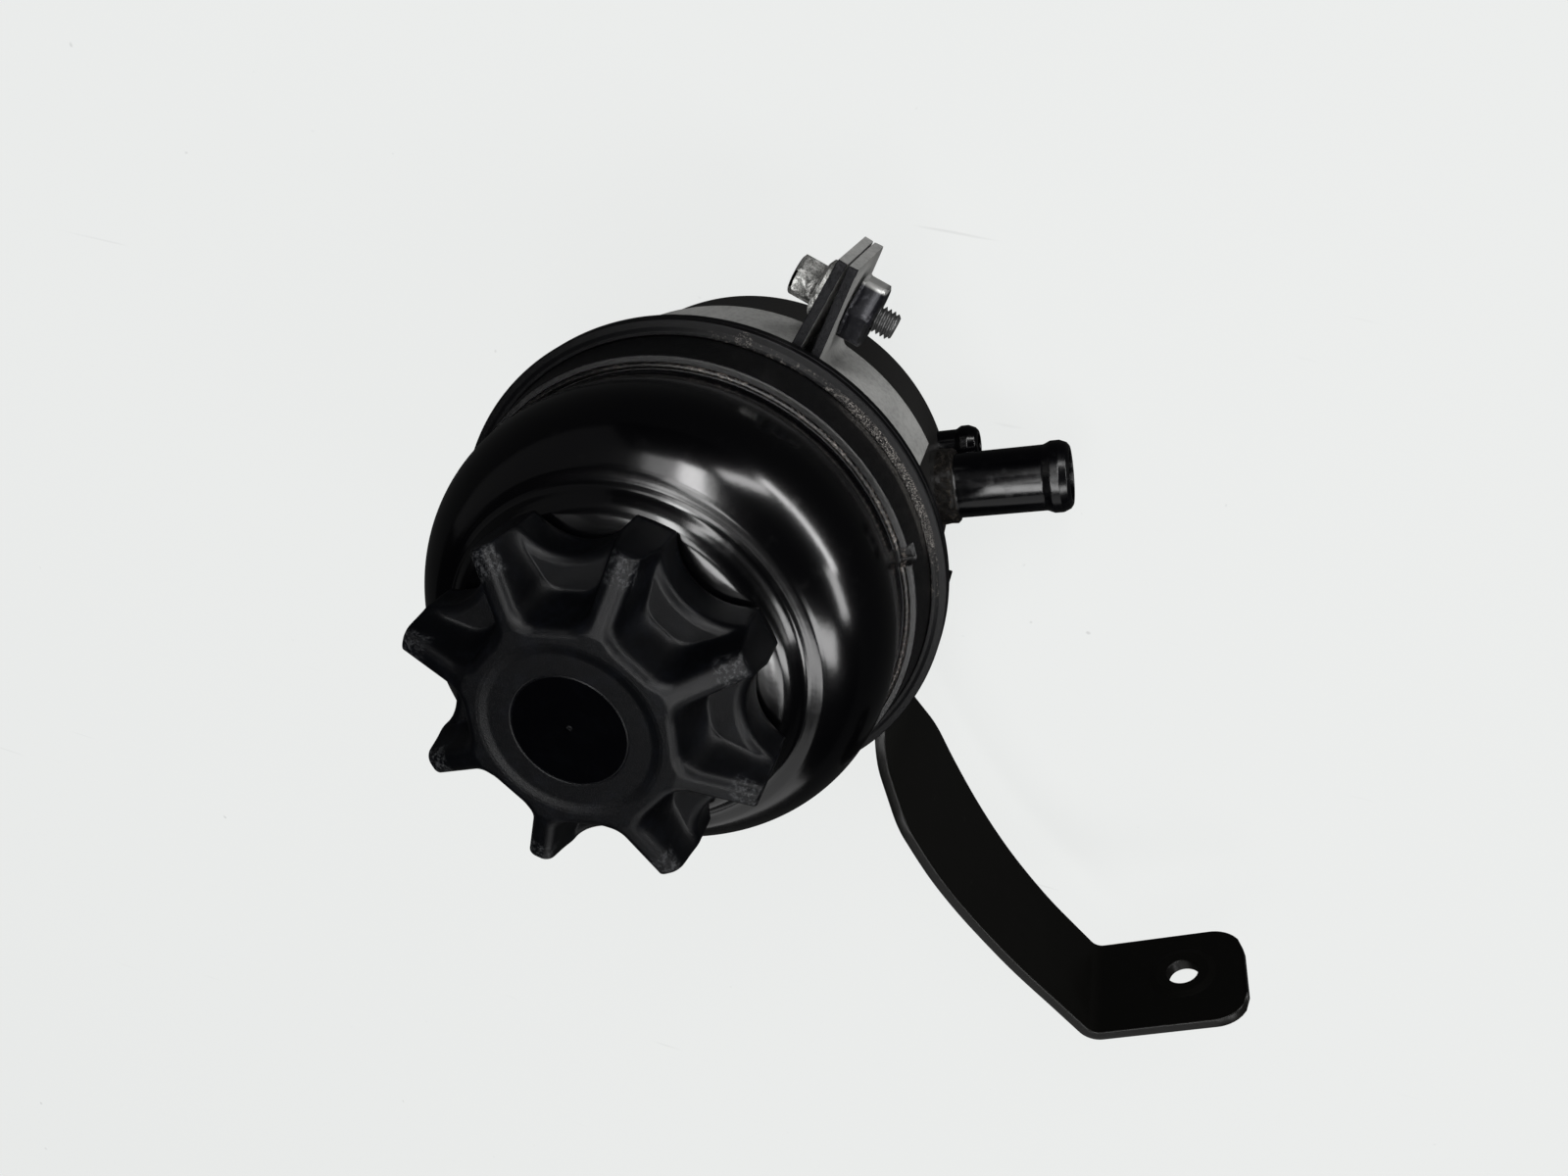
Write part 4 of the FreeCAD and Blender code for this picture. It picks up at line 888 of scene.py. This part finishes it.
def bolt_frame(distance):
    """Lays a piece along the clamp's bolt, at a distance from the ears' middle."""
    outward, along = heading(CLAMP_AZIMUTH), heading(CLAMP_AZIMUTH + 90)
    origin = outward * BOLT_RADIUS + UP * BOLT_HEIGHT + along * distance
    return laid_out(origin, outward, UP, along)


def ring_row(radius, z, t):
    """One row of points: x = r cos t, y = r sin t, at the height z."""
    return np.stack([radius * np.cos(t), radius * np.sin(t), z + 0 * t], -1)


def hexagon_mesh(name, flats, low, high, place, bore=0.0, first=0.0):
    """Hexagon prism whose top corners are turned down: r = flats / 2 / cos(t) per side."""
    t = np.linspace(0, TAU, 192, endpoint=False)
    local = (t - math.radians(first) + math.pi / 6) % (math.pi / 3) - math.pi / 6
    outer = np.minimum(flats / 2 / np.cos(local), flats / 2 * 1.125)
    face = flats / 2 - 0.25
    rows = [ring_row(bore, high, t), ring_row(face, high, t)]
    for k in np.linspace(0, 1, 6):
        radius = np.minimum(face + k * 1.1, outer)
        rows.append(ring_row(radius, high - (radius - face) * 0.5, t))
    rows += [ring_row(outer, high - 1.2, t), ring_row(outer, low, t), ring_row(bore, low, t)]
    return grid_mesh(name, place(np.stack(rows)))


def thread_mesh(name, low, high, place, outer=3.0, pitch=1.0, depth=0.7):
    """Threaded shank: the radius falls by a triangle wave of height plus turn."""
    z = np.arange(low, high, pitch / 8)
    t = np.linspace(0, TAU, 64, endpoint=False)
    zz, tt = np.meshgrid(z, t, indexing="ij")
    wave = np.abs(((zz / pitch + tt / TAU) % 1.0) * 2 - 1)
    lead = np.clip((zz - low) / 0.9, 0, 1)
    radius = np.minimum(outer - depth * np.clip(wave * 1.25 - 0.1, 0, 1), outer - 0.7 * (1 - lead))
    points = np.concatenate([ring_row(0.0, z[0], t)[None], ring_row(radius, zz, tt)])
    return grid_mesh(name, place(points), flip=True)


def make_fasteners():
    """Bolt with its washer at one ear and the flanged nut at the other."""
    lean = math.radians(EAR_LEAN)
    face = EAR_GAP + (EAR_REACH - 57.0) * math.tan(lean) + STRAP_THICKNESS / math.cos(lean)
    washer_high, head_high, nut_high, stick_out = 1.7, 5.5, 5.5, 4.6
    length = 2 * face + washer_high + nut_high + stick_out
    bolt_place = bolt_frame(face + washer_high)
    head = hexagon_mesh("bolt_head", 8.0, 0.0, head_high, bolt_place, first=30.0)
    shank = thread_mesh("bolt_shank", -length, 0.2, bolt_place)
    zinc = zinc_material()
    add("hex_bolt", [head, shank], zinc, "reservoir", ["clamp_bolt"])
    washer_profile = rounded([
        (3.3, 0), (6.3, 0, 0.3), (6.3, 1.1, 0.3), (5.2, washer_high, 0.3), (3.3, washer_high),
    ], 0.8)
    washer = revolve("washer", washer_profile, 96, bolt_frame(face))
    add("plain_washer", [washer], zinc, "reservoir", ["clamp_washer"])
    nut_frame = bolt_frame(-face)

    def nut_place(points):
        """Turned round, so that the nut's top points away from the head."""
        return nut_frame(points * np.array([1.0, -1.0, -1.0]))

    body = hexagon_mesh("nut_body", 13.0, 0.3, nut_high, nut_place, bore=3.05, first=5.6)
    flange_profile = rounded([(3.05, 0), (7.2, 0, 0.2), (7.2, 0.7, 0.2), (6.4, 1.1)], 0.5)
    flange = revolve("nut_flange", flange_profile, 96, nut_place, toothed)
    add("flange_nut", [body, flange], nut_material(), "reservoir", ["clamp_nut"])


def toothed(r, z, t):
    """Serrates the flange's edge: r falls by up to 0.35 mm along each of 36 teeth."""
    return r - (r > 6.8) * 0.35 * ((t * 36 / TAU) % 1.0), z


def dress_inner_pieces():
    """Better finishes on the CAD nodes that stay in view when the cap is lifted."""
    black = plain("inner_black", (0.02, 0.02, 0.021), 0.5)
    looks = {
        "cap_seal": plain("seal_rubber_look", (0.012, 0.012, 0.012), 0.7),
        "dipstick": plain("stick_look", (0.02, 0.02, 0.022), 0.4),
        "strainer_frame": black,
        "baffle": black,
        "strainer_mesh": plain("mesh_look", (0.45, 0.45, 0.44), 0.4, 0.9),
    }
    for name, material in looks.items():
        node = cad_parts[name]
        node.data.materials.clear()
        node.data.materials.append(material)


# surroundings

def floor_mark(nodes, scale, low, high):
    """Sparse marks on the table: noise stretched by a scale, above a threshold."""
    turned = {"Vector": nodes.object_coords(), "Scale": scale, "Rotation": (0, 0, 0.6)}
    vector = nodes.node("ShaderNodeMapping", turned).outputs[0]
    noise = nodes.node("ShaderNodeTexNoise", {"Vector": vector, "Scale": 1.0, "Detail": 1.0})
    return Sock(nodes.tree, noise.outputs["Fac"]).ramp(low, high)


def make_floor():
    """Pale table: white to the camera with a faint shadow, a weak glow in what mirrors it."""
    half = 4000
    corners = [(-half, -half, 0), (half, -half, 0), (half, half, 0), (-half, half, 0)]
    mesh = make_mesh("table", corners, [[0, 1, 2, 3]], flat=1)
    table = bpy.data.objects.new("table", mesh)
    bpy.context.scene.collection.objects.link(table)
    material = bpy.data.materials.new("table_white")
    material.use_nodes = True
    nodes = Nodes(material.node_tree)
    nodes.tree.nodes.clear()

    def glow(strength):
        """A glow in the room's colour."""
        values = {"Color": ROOM_COLOR, "Strength": strength}
        return nodes.node("ShaderNodeEmission", values).outputs[0]

    specks = floor_mark(nodes, (190, 190, 190), 0.79, 0.84)
    scratches = floor_mark(nodes, (22, 330, 22), 0.76, 0.84)
    marks = {0: specks + scratches * 0.4545, 1: glow(0.87), 2: glow(0.65)}
    marked = nodes.node("ShaderNodeMixShader", marks).outputs[0]
    shaded = nodes.node("ShaderNodeBsdfDiffuse", {"Color": (0.05, 0.05, 0.05, 1)}).outputs[0]
    seen = nodes.node("ShaderNodeAddShader", {0: shaded, 1: marked}).outputs[0]
    either = {0: nodes.camera_ray(), 1: glow(0.03), 2: seen}
    whole = nodes.node("ShaderNodeMixShader", either).outputs[0]
    nodes.node("ShaderNodeOutputMaterial", {0: whole})
    mesh.materials.append(material)


def panel(name, azimuth, elevation, width, height, radiance, roll=0.0):
    """A soft lamp at a direction from the reservoir, sized in degrees as seen from it."""
    distance, centre = 1.3, Vector((0, 0, 0.08))
    a, e = math.radians(azimuth), math.radians(elevation)
    back = Vector((math.cos(a) * math.cos(e), math.sin(a) * math.cos(e), math.sin(e)))
    lamp = bpy.data.lights.new(name, "AREA")
    lamp.shape = "RECTANGLE"
    lamp.size = 2 * distance * math.tan(math.radians(width) / 2)
    lamp.size_y = 2 * distance * math.tan(math.radians(height) / 2)
    lamp.energy = radiance * math.pi * lamp.size * lamp.size_y
    item = bpy.data.objects.new(name, lamp)
    bpy.context.scene.collection.objects.link(item)
    item.location = centre + back * distance
    facing = (-back).to_track_quat("-Z", "Y").to_matrix().to_4x4()
    item.rotation_euler = (facing @ Matrix.Rotation(math.radians(roll), 4, "Z")).to_euler()


def make_lamps():
    """A broken ring of light round the viewpoint, with weak glows on both sides of it."""
    panel("low_strip", 42, 6, 44, 5.5, 17.0)
    panel("low_end", 12, 11, 20, 8, 9.0)
    panel("corner", 68, 18, 22, 7, 11.0, roll=40)
    panel("tall_strip", 89, 42, 10, 26, 14.0)
    panel("tall_soft", 95, 42, 26, 24, 3.0)
    panel("tall_head", 94, 68, 14, 28, 8.0)
    panel("over_head", 258, 80, 38, 10, 11.0, roll=-36)
    panel("far_strip", 350, 38, 14, 28, 9.0)
    panel("far_head", 312, 60, 12, 30, 6.0, roll=35)
    panel("left_glow", 155, 24, 70, 44, 0.08)
    panel("right_glow", 285, 18, 30, 60, 0.8)


def make_world():
    """White behind everything for the camera, and almost dark for what mirrors it."""
    world = bpy.data.worlds.new("room")
    bpy.context.scene.world = world
    world.use_nodes = True
    nodes = Nodes(world.node_tree)
    background = nodes.tree.nodes["Background"]
    feed(nodes.tree, background.inputs["Color"], ROOM_COLOR)
    feed(nodes.tree, background.inputs["Strength"], nodes.camera_ray() * 0.97 + 0.008)


def make_camera():
    """The photograph's viewpoint, found from the rim, the dome and the cap's eight tips."""
    right = (0.9556, 0.1301, -0.2643)
    down = (0.2383, -0.8691, 0.4335)
    ahead = (-0.1733, -0.4772, -0.8615)
    data = bpy.data.cameras.new("camera")
    data.lens = 27.0
    data.sensor_width = 36.0
    data.clip_start = 0.01
    camera = bpy.data.objects.new("camera", data)
    bpy.context.scene.collection.objects.link(camera)
    matrix = Matrix.Identity(4)
    for i in range(3):
        matrix[i][0], matrix[i][1], matrix[i][2] = right[i], -down[i], -ahead[i]
    matrix.translation = Vector((0.064978, 0.123512, 0.278119))
    camera.matrix_world = matrix
    bpy.context.scene.camera = camera


make_dome()
make_cup()
make_nozzles()
make_cap()
make_strap()
make_arm()
make_fasteners()
dress_inner_pieces()
make_floor()
make_lamps()
make_world()
make_camera()
bpy.context.scene.view_settings.view_transform = "Standard"
bpy.context.view_layer.update()
